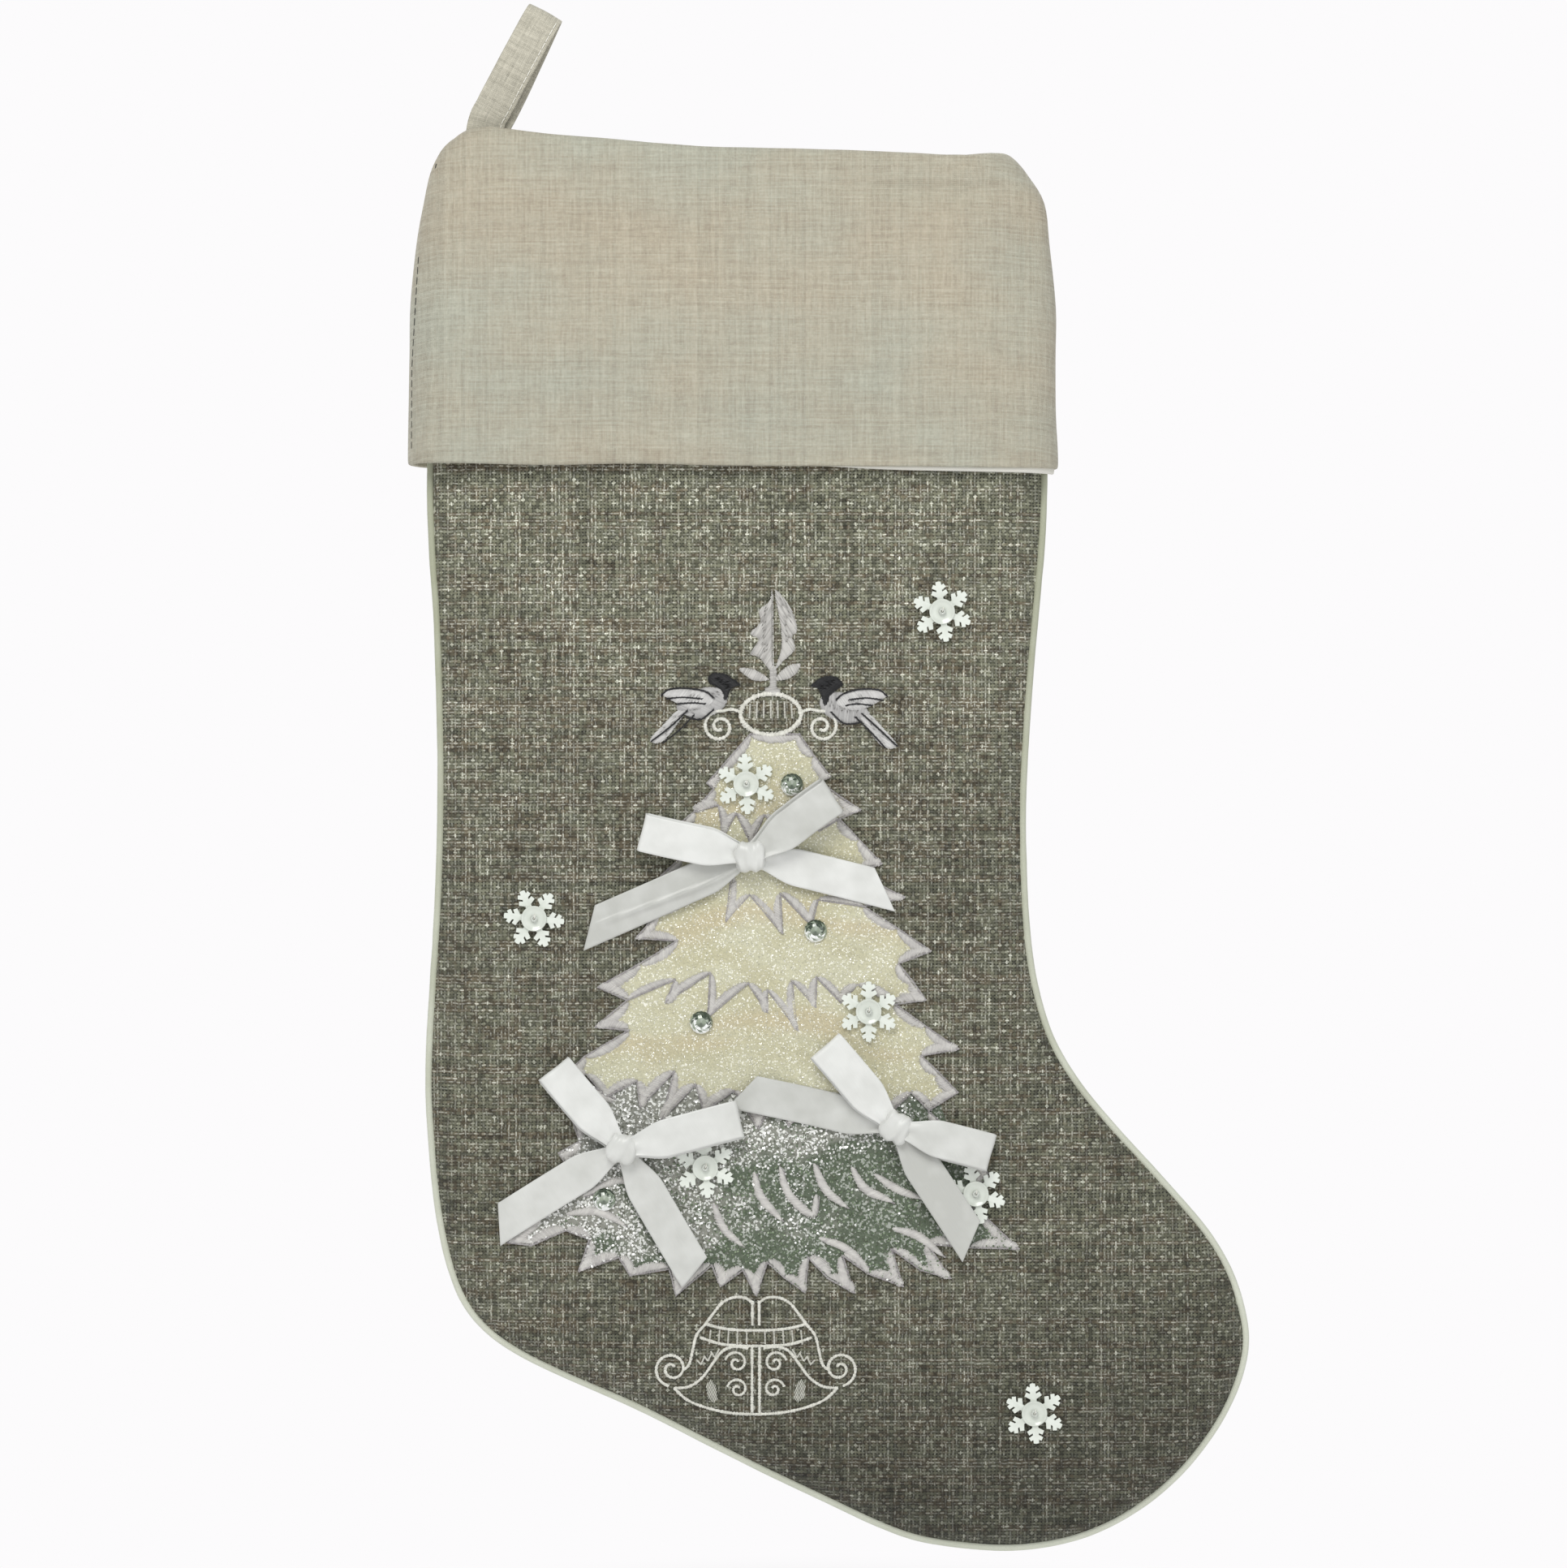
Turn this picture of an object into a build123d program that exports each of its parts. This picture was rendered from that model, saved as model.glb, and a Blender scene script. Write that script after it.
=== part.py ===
from build123d import *
import math
import os

# Hanging stocking.  Millimetres, +Z up, front = -Y, seam plane y = 0.
# Origin: inner top of the hanging loop, where a hook or nail bears.

# ---------------------------------------------------------------- driving sizes
PIPING_R = 1.3            # radius of the corded piping round the leg
PANEL_Y = 10.0            # outer face of the flat middle of each panel
PANEL_T = 1.1             # pile of woven cloth
LINING_Y = 8.4            # outer face of the lining
LINING_T = 0.4
CUFF_T = 1.2              # folded cuff cloth
FACING_T = 0.5            # cuff facing
APPLIQUE_T = 0.5
THREAD_H = 0.6            # height of satin stitch above its ground
STRAP_W = 12.0            # hanging loop ribbon width
STRAP_T = 1.6             # doubled ribbon
STRAP_GAP = 3.0           # half gap between the loop's two strands
LOOP_END = -35.5          # the loop folds here, measured along it from its inner top
LEAN = 28.6               # degrees that the loop leans from the vertical
RIBBON_W = 12.0           # bow ribbon width
RIBBON_T = 0.5
FLAKE_R = 9.8             # snowflake sequin radius
FLAKE_T = 0.3
STEM_R = 0.5              # thread stem, and the hole that runs on it
HOLE_R = 0.58
BEAD_R = 1.2
GEM_R = 3.65
RING_POINTS = 60

# Edge of the leg and foot in the seam plane, (x, z), from the mouth down the
# back, round the heel, sole and toe, and up the front.
LEG = [(-25.6, -36.0), (-27.4, -41.0), (-30.2, -47.5), (-32.2, -54.5), (-34.0, -65.5), (-35.4, -81.2),
    (-36.9, -107.4), (-37.7, -136.2), (-38.0, -154.6), (-37.2, -175.5), (-35.9, -193.9),
    (-35.1, -217.5), (-34.6, -241.0), (-34.8, -264.6), (-35.6, -288.2), (-36.9, -309.2),
    (-38.0, -327.5), (-38.5, -345.8), (-37.7, -361.6), (-36.4, -377.3), (-34.3, -391.7),
    (-31.2, -404.8), (-26.5, -416.1), (-19.1, -425.0), (-8.1, -432.6), (7.6, -440.2),
    (28.6, -449.3), (49.5, -459.8), (70.5, -470.3), (91.4, -480.2), (107.2, -487.6),
    (120.3, -492.3), (136.0, -494.7), (151.7, -495.4), (167.4, -493.3), (180.5, -488.9),
    (192.3, -482.3), (203.6, -473.2), (212.5, -463.2), (220.3, -451.4), (225.6, -438.9),
    (227.7, -427.1), (225.8, -415.3), (221.9, -404.0), (215.1, -392.5), (205.4, -380.9),
    (194.1, -368.4), (183.1, -356.3), (172.7, -343.5), (164.8, -330.1), (159.8, -314.4),
    (157.2, -298.7), (155.9, -277.7), (155.6, -254.1), (156.7, -230.6), (158.2, -209.6),
    (160.1, -188.6), (161.7, -170.3), (162.4, -154.6), (162.4, -141.5), (161.4, -115.3),
    (158.6, -91.7), (155.2, -73.4), (151.2, -60.3), (147.0, -51.6), (143.4, -45.5), (141.0, -38.0)]

# Cuff stations, top to bottom: left (x, z), right (x, z), half thickness.
CUFF = [
    ((-26.5, -35.9), (145.6, -44.5), 10.9),
    ((-29.6, -37.6), (149.4, -45.3), 11.7),
    ((-33.2, -42.6), (151.9, -47.6), 12.2),
    ((-36.4, -50.0), (155.6, -51.9), 12.6),
    ((-38.5, -60.3), (160.9, -60.8), 13.0),
    ((-40.7, -73.4), (162.6, -74.4), 13.3),
    ((-42.7, -93.0), (164.6, -94.4), 13.6),
    ((-43.3, -125.8), (164.6, -127.9), 14.2),
    ((-43.5, -144.7), (165.3, -148.0), 14.6),
]

# Tiered tree applique, snow-coloured upper tiers.
CREAM = [(66.5, -231.9), (82.3, -231.9), (87.0, -238.9), (92.2, -245.5), (88.8, -247.1), (95.4, -252.0),
    (101.9, -256.2), (95.1, -259.1), (101.4, -265.7), (108.7, -273.5), (101.9, -275.6),
    (109.3, -280.9), (116.1, -284.3), (103.0, -287.2), (113.7, -294.2), (124.5, -301.6),
    (114.0, -305.5), (118.7, -311.3), (122.9, -317.3), (112.9, -318.6), (122.9, -325.7),
    (133.4, -333.0), (121.3, -335.1), (127.1, -340.6), (133.1, -346.9), (123.9, -352.7),
    (118.2, -346.9), (108.7, -356.3), (104.0, -348.5), (94.1, -357.4), (88.8, -349.0),
    (78.9, -357.4), (74.4, -348.5), (69.2, -358.4), (61.3, -346.4), (51.6, -353.2), (49.0, -344.3),
    (38.0, -355.8), (42.2, -340.1), (31.2, -351.6), (30.1, -343.2), (20.2, -348.5), (13.9, -341.1),
    (6.0, -342.2), (13.4, -335.4), (27.5, -327.0), (16.8, -325.9), (27.0, -317.3), (17.6, -313.1),
    (31.2, -305.5), (43.2, -298.2), (29.9, -297.4), (36.9, -289.2), (45.9, -282.4), (35.4, -279.8),
    (44.3, -271.4), (52.7, -265.7), (42.2, -262.0), (48.5, -256.8), (54.8, -249.4), (52.7, -247.6),
    (55.8, -244.2)]
# Lowest tier, glittered cloth.
GLITTER = [(13.4, -343.7), (23.3, -349.0), (33.8, -352.1), (60.0, -354.2), (86.2, -357.4), (112.4, -354.2),
    (123.9, -353.2), (132.3, -360.5), (144.4, -374.7), (137.6, -376.2), (140.2, -385.1),
    (152.7, -397.2), (137.0, -396.7), (123.4, -395.6), (130.7, -406.6), (121.3, -404.0),
    (111.9, -397.2), (115.5, -409.2), (104.5, -405.1), (96.2, -399.3), (99.8, -411.1),
    (91.4, -406.6), (85.2, -399.8), (84.1, -411.1), (77.3, -406.1), (72.0, -401.4), (68.4, -411.9),
    (64.2, -404.0), (56.9, -409.2), (54.2, -402.4), (42.7, -411.9), (40.6, -403.5), (28.0, -405.6),
    (24.4, -399.8), (11.5, -404.3), (14.9, -394.0), (7.3, -391.2), (-3.7, -395.9), (-11.3, -395.1),
    (-0.8, -385.1), (10.7, -375.2), (5.0, -366.3), (11.8, -362.6), (8.6, -353.2)]
# Raised satin-stitch lines inside the tiers: points, width.
TIER_EDGES = [([(48.5, -256.8), (56.3, -254.7), (57.9, -264.1), (62.1, -257.3), (66.8, -267.2), (71.0, -257.8),
    (77.3, -264.6), (82.0, -257.8), (88.8, -263.0), (95.1, -259.1)], 1.5), ([(36.9, -289.2),
    (49.5, -281.9), (60.5, -276.7), (58.7, -291.9), (66.3, -283.5), (76.8, -295.8), (76.2, -283.0),
    (86.2, -293.4), (88.3, -285.1), (103.0, -287.2)], 1.5), ([(27.0, -317.3), (42.4, -310.7),
    (39.3, -318.1), (53.7, -308.4), (52.9, -322.8), (65.8, -311.8), (72.0, -321.2), (72.0, -313.9),
    (81.7, -327.0), (79.9, -311.0), (87.5, -319.6), (87.8, -309.9), (95.6, -318.1), (100.9, -312.3),
    (112.9, -318.6)], 1.5)]
SPRIGS = [([(67.9, -372.6), (70.0, -380.4), (76.2, -387.8)], 1.5), ([(76.2, -371.0), (78.9, -379.4),
    (86.2, -386.2), (87.8, -379.9)], 1.5), ([(87.2, -369.9), (90.9, -378.3), (97.2, -383.6)], 1.5),
    ([(99.3, -371.0), (103.5, -377.8), (111.9, -382.0)], 1.5), ([(106.6, -373.1), (113.4, -377.8),
    (121.3, -380.9)], 1.4), ([(33.8, -379.9), (40.6, -386.7), (43.2, -395.6)], 1.4),
    ([(54.8, -382.5), (57.9, -390.4), (63.7, -396.1)], 1.4), ([(12.8, -379.9), (23.8, -375.2),
    (31.2, -377.8)], 1.3), ([(112.4, -390.4), (120.3, -393.0), (128.1, -399.3)], 1.5),
    ([(88.8, -393.5), (96.7, -396.7), (103.5, -402.4)], 1.4), ([(7.6, -385.7), (17.6, -385.1),
    (25.9, -389.3)], 1.4)]
# Leaf finial, two halves and two leaflets.
LEAVES = [[(73.6, -185.2), (72.8, -189.2), (69.4, -192.0), (69.7, -196.2), (66.3, -199.6), (69.2, -201.5),
    (66.5, -206.2), (69.4, -207.2), (73.4, -211.7), (73.6, -204.4)], [(74.4, -185.5),
    (79.4, -191.3), (81.7, -198.1), (79.9, -200.7), (81.0, -204.4), (77.3, -208.3), (74.4, -211.2),
    (76.5, -204.4), (76.2, -196.5)], [(63.1, -210.6), (67.9, -211.2), (72.6, -214.3),
    (68.4, -214.8), (64.7, -213.0)], [(82.5, -209.3), (78.3, -210.1), (74.4, -214.3),
    (78.3, -214.3), (81.5, -212.2)], [(72.8, -210.6), (74.9, -210.6), (74.9, -216.4),
    (76.2, -217.5), (75.7, -219.0), (73.6, -219.6), (71.5, -218.8), (71.3, -217.2), (72.8, -216.2)]]
# Scroll urn under the finial: strokes, width.
URN = [([(69.4, -220.6), (69.4, -231.3)], 1.2), ([(73.1, -219.6), (73.1, -232.1)], 1.2), ([(76.8, -220.6),
    (76.8, -231.3)], 1.2), ([(63.4, -225.3), (56.6, -224.3), (51.9, -227.7), (51.1, -231.6),
    (53.2, -235.3), (56.9, -235.8), (59.5, -233.2), (59.0, -230.8)], 1.6), ([(82.8, -225.6),
    (89.3, -225.1), (93.8, -227.7), (95.4, -231.6), (93.8, -235.3), (90.1, -235.8), (87.8, -233.4),
    (88.3, -231.1)], 1.6)]
URN_RING = (73.1, -225.5, 9.7, 6.6)
# Scroll stand under the tree: strokes, width.
STAND = [([(52.7, -419.2), (54.8, -415.0), (60.0, -412.9), (65.0, -414.5), (68.1, -418.2)], 1.5),
    ([(68.1, -418.2), (71.3, -414.5), (75.7, -412.7), (81.0, -415.0), (83.6, -419.2)], 1.5),
    ([(51.6, -418.2), (59.5, -420.2), (68.1, -421.0), (76.2, -420.2), (84.6, -417.9)], 1.5),
    ([(48.2, -422.9), (56.3, -425.2), (68.1, -426.3), (78.9, -425.2), (88.0, -422.9)], 1.6),
    ([(68.1, -415.5), (68.1, -449.6)], 1.6), ([(60.8, -420.5), (60.8, -425.8)], 1.3),
    ([(64.5, -421.0), (64.5, -426.0)], 1.3), ([(72.0, -421.0), (72.0, -426.0)], 1.3),
    ([(75.7, -420.5), (75.7, -425.8)], 1.3), ([(52.1, -418.2), (49.0, -422.3), (47.2, -427.1),
    (45.9, -431.8), (43.2, -435.4), (39.6, -436.0)], 1.7), ([(84.1, -418.2), (87.5, -421.8),
    (89.6, -427.1), (90.9, -431.8), (93.5, -435.4), (97.2, -436.0)], 1.7), ([(66.0, -429.7),
    (60.0, -427.1), (54.8, -429.2), (51.1, -433.9), (46.9, -438.6), (41.4, -440.7), (36.7, -438.6),
    (35.4, -433.9), (39.0, -430.7), (43.8, -431.8)], 1.7), ([(70.5, -429.7), (76.2, -427.1),
    (81.7, -429.2), (85.4, -433.9), (89.3, -438.6), (95.1, -440.7), (100.1, -438.6),
    (101.4, -433.9), (98.0, -430.7), (93.0, -431.8)], 1.7), ([(67.3, -436.5), (63.1, -436.0),
    (60.0, -432.8), (61.6, -430.7)], 1.4), ([(68.9, -436.5), (73.1, -436.0), (76.2, -432.8),
    (74.7, -430.7)], 1.4), ([(67.9, -440.2), (63.7, -438.6), (60.0, -440.2), (60.5, -443.3),
    (63.7, -443.8)], 1.4), ([(68.4, -440.2), (72.6, -438.6), (76.8, -440.2), (76.2, -443.3),
    (73.1, -443.8)], 1.4), ([(39.6, -441.2), (44.3, -444.9), (54.8, -448.0), (68.1, -449.1),
    (82.0, -448.0), (92.0, -444.9), (96.7, -441.2)], 1.8)]
# Two songbirds facing each other: outlines of thread fields.
BIRD_L = [[(57.4, -217.5), (59.2, -220.6), (57.1, -224.3), (51.1, -226.9), (45.9, -225.8), (42.7, -223.2),
    (45.9, -220.1), (51.6, -216.9)], [(46.9, -223.7), (44.8, -226.4), (40.1, -232.7),
    (36.9, -234.8), (34.3, -233.7), (38.5, -229.0), (43.2, -224.3)]]
BIRD_R = [[(90.4, -219.0), (88.8, -222.2), (90.9, -225.8), (96.7, -228.7), (101.9, -227.9), (104.8, -225.1),
    (101.4, -221.7), (96.2, -218.5)], [(100.9, -225.3), (103.0, -228.5), (107.7, -234.8),
    (111.4, -236.6), (113.7, -235.3), (109.8, -230.6), (105.1, -225.8)]]
BIRD_BLACK = [[(61.3, -216.9), (60.0, -213.8), (56.9, -213.0), (54.0, -214.8), (53.7, -217.7), (55.8, -220.1),
    (59.0, -219.8), (60.8, -218.0), (63.7, -216.4)], [(87.2, -218.2), (88.3, -215.4),
    (91.4, -214.3), (94.3, -216.2), (94.8, -219.0), (92.7, -221.7), (89.3, -221.4), (87.8, -219.6),
    (85.2, -217.5)]]

# Snowflake sequins: x, z, turn (degrees), height of their ground.
FLAKES = [(128.1, -192.6, 8, 10.0), (-2.9, -291.1, 24, 10.0), (65.2, -247.9, 3, 11.1),
    (104.5, -320.9, 0, 11.1), (52.1, -371.0, 5, 11.1), (138.9, -379.4, 12, 10.6),
    (157.7, -449.9, 4, 10.0)]
# Rhinestones, x, z.
GEMS = [(79.9, -248.1), (87.5, -295.0), (50.8, -324.4), (19.7, -381.2)]
# Bows: knot (x, z), then arms: kind, direction (degrees), length, lowest height.
BOWS = {
    "bow_top": ((66.5, -271.2), [
        ("loop", 165.9, 35.4, 13.9), ("loop", 33.3, 32.9, 13.9),
        ("tail", -155.6, 56.4, 12.0), ("tail", -13.0, 45.4, 12.0)]),
    "bow_left": ((25.4, -364.7), [
        ("loop", 128.6, 33.2, 13.9), ("loop", 13.3, 38.8, 13.9),
        ("tail", -148.9, 46.2, 12.0), ("tail", -60.3, 47.1, 12.0)]),
    "bow_right": ((113.2, -357.9), [
        ("loop", 131.6, 34.3, 13.9), ("loop", -15.5, 31.3, 13.9),
        ("tail", 165.5, 50.1, 12.0), ("tail", -56.0, 43.6, 14.4)]),
}

os.makedirs("parts", exist_ok=True)


def save(name, shape, colour=None):
    if isinstance(shape, (list, tuple)):
        shape = Compound(children=list(shape))
    export_step(shape, f"parts/{name}.step")


# ---------------------------------------------------------------- plane helpers
def face_xz(pts, y):
    """Flat polygon in the plane y."""
    return Face(Wire.make_polygon([Vector(x, y, z) for x, z in pts], close=True))


def prism(pts, y0, y1):
    """Polygon of the seam plane extruded from y0 to y1."""
    return extrude(face_xz(pts, y0), amount=abs(y1 - y0), dir=(0, 1 if y1 > y0 else -1, 0))


def stroke(pts, width, round_ends=True):
    """Outline of a line of even width, mitred at its corners."""
    n = len(pts)
    left, right = [], []
    for i, p in enumerate(pts):
        a = pts[max(i - 1, 0)]
        b = pts[min(i + 1, n - 1)]
        if 0 < i < n - 1:
            d1 = (p[0] - a[0], p[1] - a[1])
            d2 = (b[0] - p[0], b[1] - p[1])
            l1, l2 = math.hypot(*d1), math.hypot(*d2)
            d1 = (d1[0] / l1, d1[1] / l1)
            d2 = (d2[0] / l2, d2[1] / l2)
            t = (d1[0] + d2[0], d1[1] + d2[1])
            lt = math.hypot(*t) or 1.0
            t = (t[0] / lt, t[1] / lt)
            k = 1.0 / max(0.5, t[0] * d1[0] + t[1] * d1[1])
        else:
            t = (b[0] - a[0], b[1] - a[1])
            lt = math.hypot(*t)
            t = (t[0] / lt, t[1] / lt)
            k = 1.0
        nx, nz = -t[1] * width / 2 * k, t[0] * width / 2 * k
        left.append((p[0] + nx, p[1] + nz))
        right.append((p[0] - nx, p[1] - nz))
    return left + right[::-1]


def smooth(pts, per=4, closed=False):
    """Points along a Catmull-Rom curve through pts."""
    out = []
    n = len(pts)
    rng = n if closed else n - 1
    for i in range(rng):
        if closed:
            p0, p1, p2, p3 = (pts[(i + k) % n] for k in (-1, 0, 1, 2))
        else:
            p0, p1, p2, p3 = pts[max(i - 1, 0)], pts[i], pts[i + 1], pts[min(i + 2, n - 1)]
        for j in range(per):
            t = j / per
            out.append(tuple(
                0.5 * ((2 * b) + (c - a) * t + (2 * a - 5 * b + 4 * c - d) * t * t
                       + (3 * b - a - 3 * c + d) * t ** 3)
                for a, b, c, d in zip(p0, p1, p2, p3)))
    if not closed:
        out.append(tuple(pts[-1]))
    return out


def field(polys, y0, y1):
    """Thread fields joined where they meet, extruded from y0 to y1."""
    solids = [prism(p, y0, y1) for p in polys]
    out = solids[0]
    for s in solids[1:]:
        out = out + s
    found = out.solids()
    return found[0] if len(found) == 1 else Compound(children=list(found))


# ---------------------------------------------------------------- edge rings
def resample(pts, n):
    """n points evenly spaced round a closed line, the first kept."""
    seg = [math.dist(pts[i], pts[(i + 1) % len(pts)]) for i in range(len(pts))]
    total = sum(seg)
    out, i, run = [], 0, 0.0
    for k in range(n):
        s = total * k / n
        while run + seg[i] < s:
            run += seg[i]
            i += 1
        f = (s - run) / seg[i]
        a, b = pts[i], pts[(i + 1) % len(pts)]
        out.append((a[0] + (b[0] - a[0]) * f, a[1] + (b[1] - a[1]) * f))
    return out


def inset_rings(pts, step, depth):
    """Rings of the same number of points, each a step further inside."""
    rings = [pts]
    for _ in range(int(round(depth / step))):
        cur = rings[-1]
        n = len(cur)
        nxt = []
        for i in range(n):
            a, b = cur[i - 1], cur[(i + 1) % n]
            t = (b[0] - a[0], b[1] - a[1])
            lt = math.hypot(*t)
            # The edge runs anticlockwise, so inside is on its left.
            nx, nz = -t[1] / lt, t[0] / lt
            mx, mz = (a[0] + b[0]) / 2 - cur[i][0], (a[1] + b[1]) / 2 - cur[i][1]
            along = (mx * t[0] + mz * t[1]) / lt
            nxt.append((cur[i][0] + nx * step + t[0] / lt * along * 0.3,
                        cur[i][1] + nz * step + t[1] / lt * along * 0.3))
        rings.append(nxt)
    return rings


# The edge is carried on above the mouth, and the mouth is cut afterwards.
_edge = smooth(LEG, per=4)
_edge = _edge + [(142.0, -20.0), (139.0, 2.0), (100.0, 8.0), (50.0, 8.0), (10.0, 8.0), (-18.0, 2.0), (-22.0, -20.0)]
EDGE = resample(_edge, RING_POINTS)
STEP = 0.1
RINGS = inset_rings(EDGE, STEP, 14.0)


def ring(d):
    return RINGS[int(round(d / STEP))]


def pillow(profile, side):
    """Solid whose edge rises from ring to ring: (inset, height), side -1 front."""
    wires = [Wire.make_polygon([Vector(x, side * h, z) for x, z in ring(d)], close=True)
             for d, h in profile]
    return Solid.make_loft(wires, ruled=True)


# Mouth plane, just under the cuff's fold.
M0, M1 = (-27.0, -37.75), (145.0, -46.35)


def mouth_z(x):
    return M0[1] + (M1[1] - M0[1]) * (x - M0[0]) / (M1[0] - M0[0])


ABOVE = prism([(-80, mouth_z(-80)), (220, mouth_z(220)), (220, 60), (-80, 60)], -60, 60)

OUT_PANEL = [(2.7, 0.35), (2.8, 1.7), (3.6, 4.4), (5.2, 7.0), (7.6, 9.0), (12.0, PANEL_Y)]
IN_PANEL = [(6.5, 0.35), (6.6, 5.9), (8.2, 7.7), (12.4, PANEL_Y - PANEL_T)]
OUT_LIN = [(6.7, 0.05), (6.8, 5.6), (8.4, 7.3), (12.7, LINING_Y)]
IN_LIN = [(7.3, 0.05), (7.4, 5.1), (9.0, 6.8), (13.1, LINING_Y - LINING_T)]

# ---------------------------------------------------------------- hanging loop
CA, SA = math.cos(math.radians(LEAN)), math.sin(math.radians(LEAN))


def on_loop(u, s):
    """Seam-plane point: u along the loop from its inner top, s across it."""
    return (u * SA + s * CA, u * CA - s * SA)


def loop_band(profile, s0, s1):
    """Band across the ribbon: profile of (y, u) extruded from s0 to s1."""
    o = on_loop(0, s0)
    pts = [Vector(o[0] + u * SA, y, o[1] + u * CA) for y, u in profile]
    f = Face(Wire.make_polygon(pts, close=True))
    return extrude(f, amount=s1 - s0, dir=(CA, 0, -SA))


def teardrop(gap, top, end, root):
    """Half outline of the loop's side view, (y, u), from the top to the root."""
    r = gap
    pts = [(r * math.sin(a), top - r + r * math.cos(a)) for a in [math.radians(k * 15) for k in range(0, 7)]]
    pts += [(gap, -20.0), (gap * 0.82, -24.0), (gap * 0.5 + root * 0.3, -28.5), (root + 0.25, -32.0), (root, end)]
    return pts


_out = teardrop(STRAP_GAP + STRAP_T, STRAP_T, LOOP_END, STRAP_T + 0.03)
_in = teardrop(STRAP_GAP, 0.0, -33.4, 0.03)
band = loop_band(_out + [(-y, u) for y, u in reversed(_out[1:])], -STRAP_W / 2, STRAP_W / 2)
hole = loop_band(_in + [(-y, u) for y, u in reversed(_in[1:])], -STRAP_W / 2 - 1, STRAP_W / 2 + 1)
slit = loop_band([(0.03, -33.0), (-0.03, -33.0), (-0.03, LOOP_END - 1), (0.03, LOOP_END - 1)], -STRAP_W / 2 - 1, STRAP_W / 2 + 1)
loop = band - hole
save("hanging_loop", loop)

# Edge stitches, a row inside each edge of the front strand.
stitches = []
for s in (-STRAP_W / 2 + 1.4, STRAP_W / 2 - 1.4):
    for k in range(6):
        u0 = -4.8 - 2.6 * k
        y0 = -(STRAP_GAP + STRAP_T)
        stitches.append(loop_band([(y0, u0), (y0 - 0.22, u0 - 0.2), (y0 - 0.22, u0 - 1.7), (y0, u0 - 1.9)], s - 0.2, s + 0.2))
save("loop_topstitch", stitches)

# Sewn ends of the ribbon, held in the mouth seam.
TAB_TOP = LOOP_END - 1.95
tab_pts = [on_loop(TAB_TOP, -STRAP_W / 2), (-26.0, -38.4), (-23.2, -54.0), (-13.0, -54.0), (-12.9, -38.5), on_loop(TAB_TOP, STRAP_W / 2)]
TAB_Y = STRAP_T
tab = prism(tab_pts, -TAB_Y, TAB_Y)
save("loop_tab", tab)
tack = [prism([(-20.5, z), (-14.0, z - 0.3), (-14.0, z - 1.0), (-20.5, z - 0.7)], -TAB_Y, -TAB_Y - 0.5) for z in (-47.0, -49.4, -51.8)]
save("loop_bartack", tack)
_grow = 0.05
slot_pts = [on_loop(TAB_TOP + 5, -STRAP_W / 2 - _grow), on_loop(TAB_TOP, -STRAP_W / 2 - _grow), (-26.0 - _grow, -38.4), (-23.2 - _grow, -54.0 - _grow), (-13.0 + _grow, -54.0 - _grow), (-12.9 + _grow, -38.5), on_loop(TAB_TOP, STRAP_W / 2 + _grow), on_loop(TAB_TOP + 5, STRAP_W / 2 + _grow)]
SLOT = prism(slot_pts, -TAB_Y - _grow, TAB_Y + _grow)

# ---------------------------------------------------------------- leg and foot
def half(outer, inner, side):
    """Half shell, open at the seam plane and at the mouth."""
    start = [(inner[0][0], 0.0)] + inner
    s = pillow(outer, side) - pillow(start, side)
    s = s - ABOVE - SLOT
    return max(s.solids(), key=lambda q: q.volume)


front_panel = half(OUT_PANEL, IN_PANEL, -1)
back_panel = half(OUT_PANEL, IN_PANEL, 1)
front_lining = half(OUT_LIN, IN_LIN, -1)
back_lining = half(OUT_LIN, IN_LIN, 1)
save("front_panel", front_panel)
save("back_panel", back_panel)
save("front_lining", front_lining)
save("back_lining", back_lining)

# Cut-away backing behind the embroidery, between panel and lining.
backing = prism([(5, -200), (135, -200), (135, -330), (140, -405), (20, -412), (5, -400)], -(LINING_Y + 0.05), -(PANEL_Y - PANEL_T - 0.02))
save("embroidery_backing", backing)

# Corded piping, its flange held between the panels' seam allowances.
R = PIPING_R
bead = Solid.make_loft([Wire.make_polygon([Vector(x, y, z) for x, z in ring(d)], close=True)
                        for d, y in [(0.8, -R), (0.2, -0.85), (0.0, -0.35), (0.0, 0.35), (0.2, 0.85), (0.8, R)]], ruled=True)
inner_a = Solid.make_loft([Wire.make_polygon([Vector(x, y, z) for x, z in ring(d)], close=True)
                           for d, y in [(1.8, -R - 0.01), (2.3, -0.85), (2.6, -0.35)]], ruled=True)
inner_b = Solid.make_loft([Wire.make_polygon([Vector(x, y, z) for x, z in ring(6.4)], close=True) for y in (-0.35, 0.35)], ruled=True)
inner_c = Solid.make_loft([Wire.make_polygon([Vector(x, y, z) for x, z in ring(d)], close=True)
                           for d, y in [(2.6, 0.35), (2.3, 0.85), (1.8, R + 0.01)]], ruled=True)
piping = bead - inner_a - inner_c - inner_b - ABOVE - SLOT
save("edge_piping", max(piping.solids(), key=lambda q: q.volume))


# ---------------------------------------------------------------- cuff
def lens(l, r, h, corner=16.0):
    """Section of the cuff: flat sides, rounded to a fold at each end."""
    e_list = [0.0, 0.4, 1.4, 3.2, 6.0, 10.0, 16.0]
    pts = []
    w = math.dist(l, r)

    def at(e, y):
        f = e / w
        return Vector(l[0] + (r[0] - l[0]) * f, y, l[1] + (r[1] - l[1]) * f)

    def hh(e):
        u = min(1.0, e / corner)
        return h * math.sqrt(max(0.0, 1 - (1 - u) ** 2))
    top = [at(e, -hh(e)) for e in e_list] + [at(w - e, -hh(e)) for e in reversed(e_list)]
    bot = [at(w - e, hh(e)) for e in e_list[1:]] + [at(e, hh(e)) for e in reversed(e_list[1:])]
    return top + bot


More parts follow.
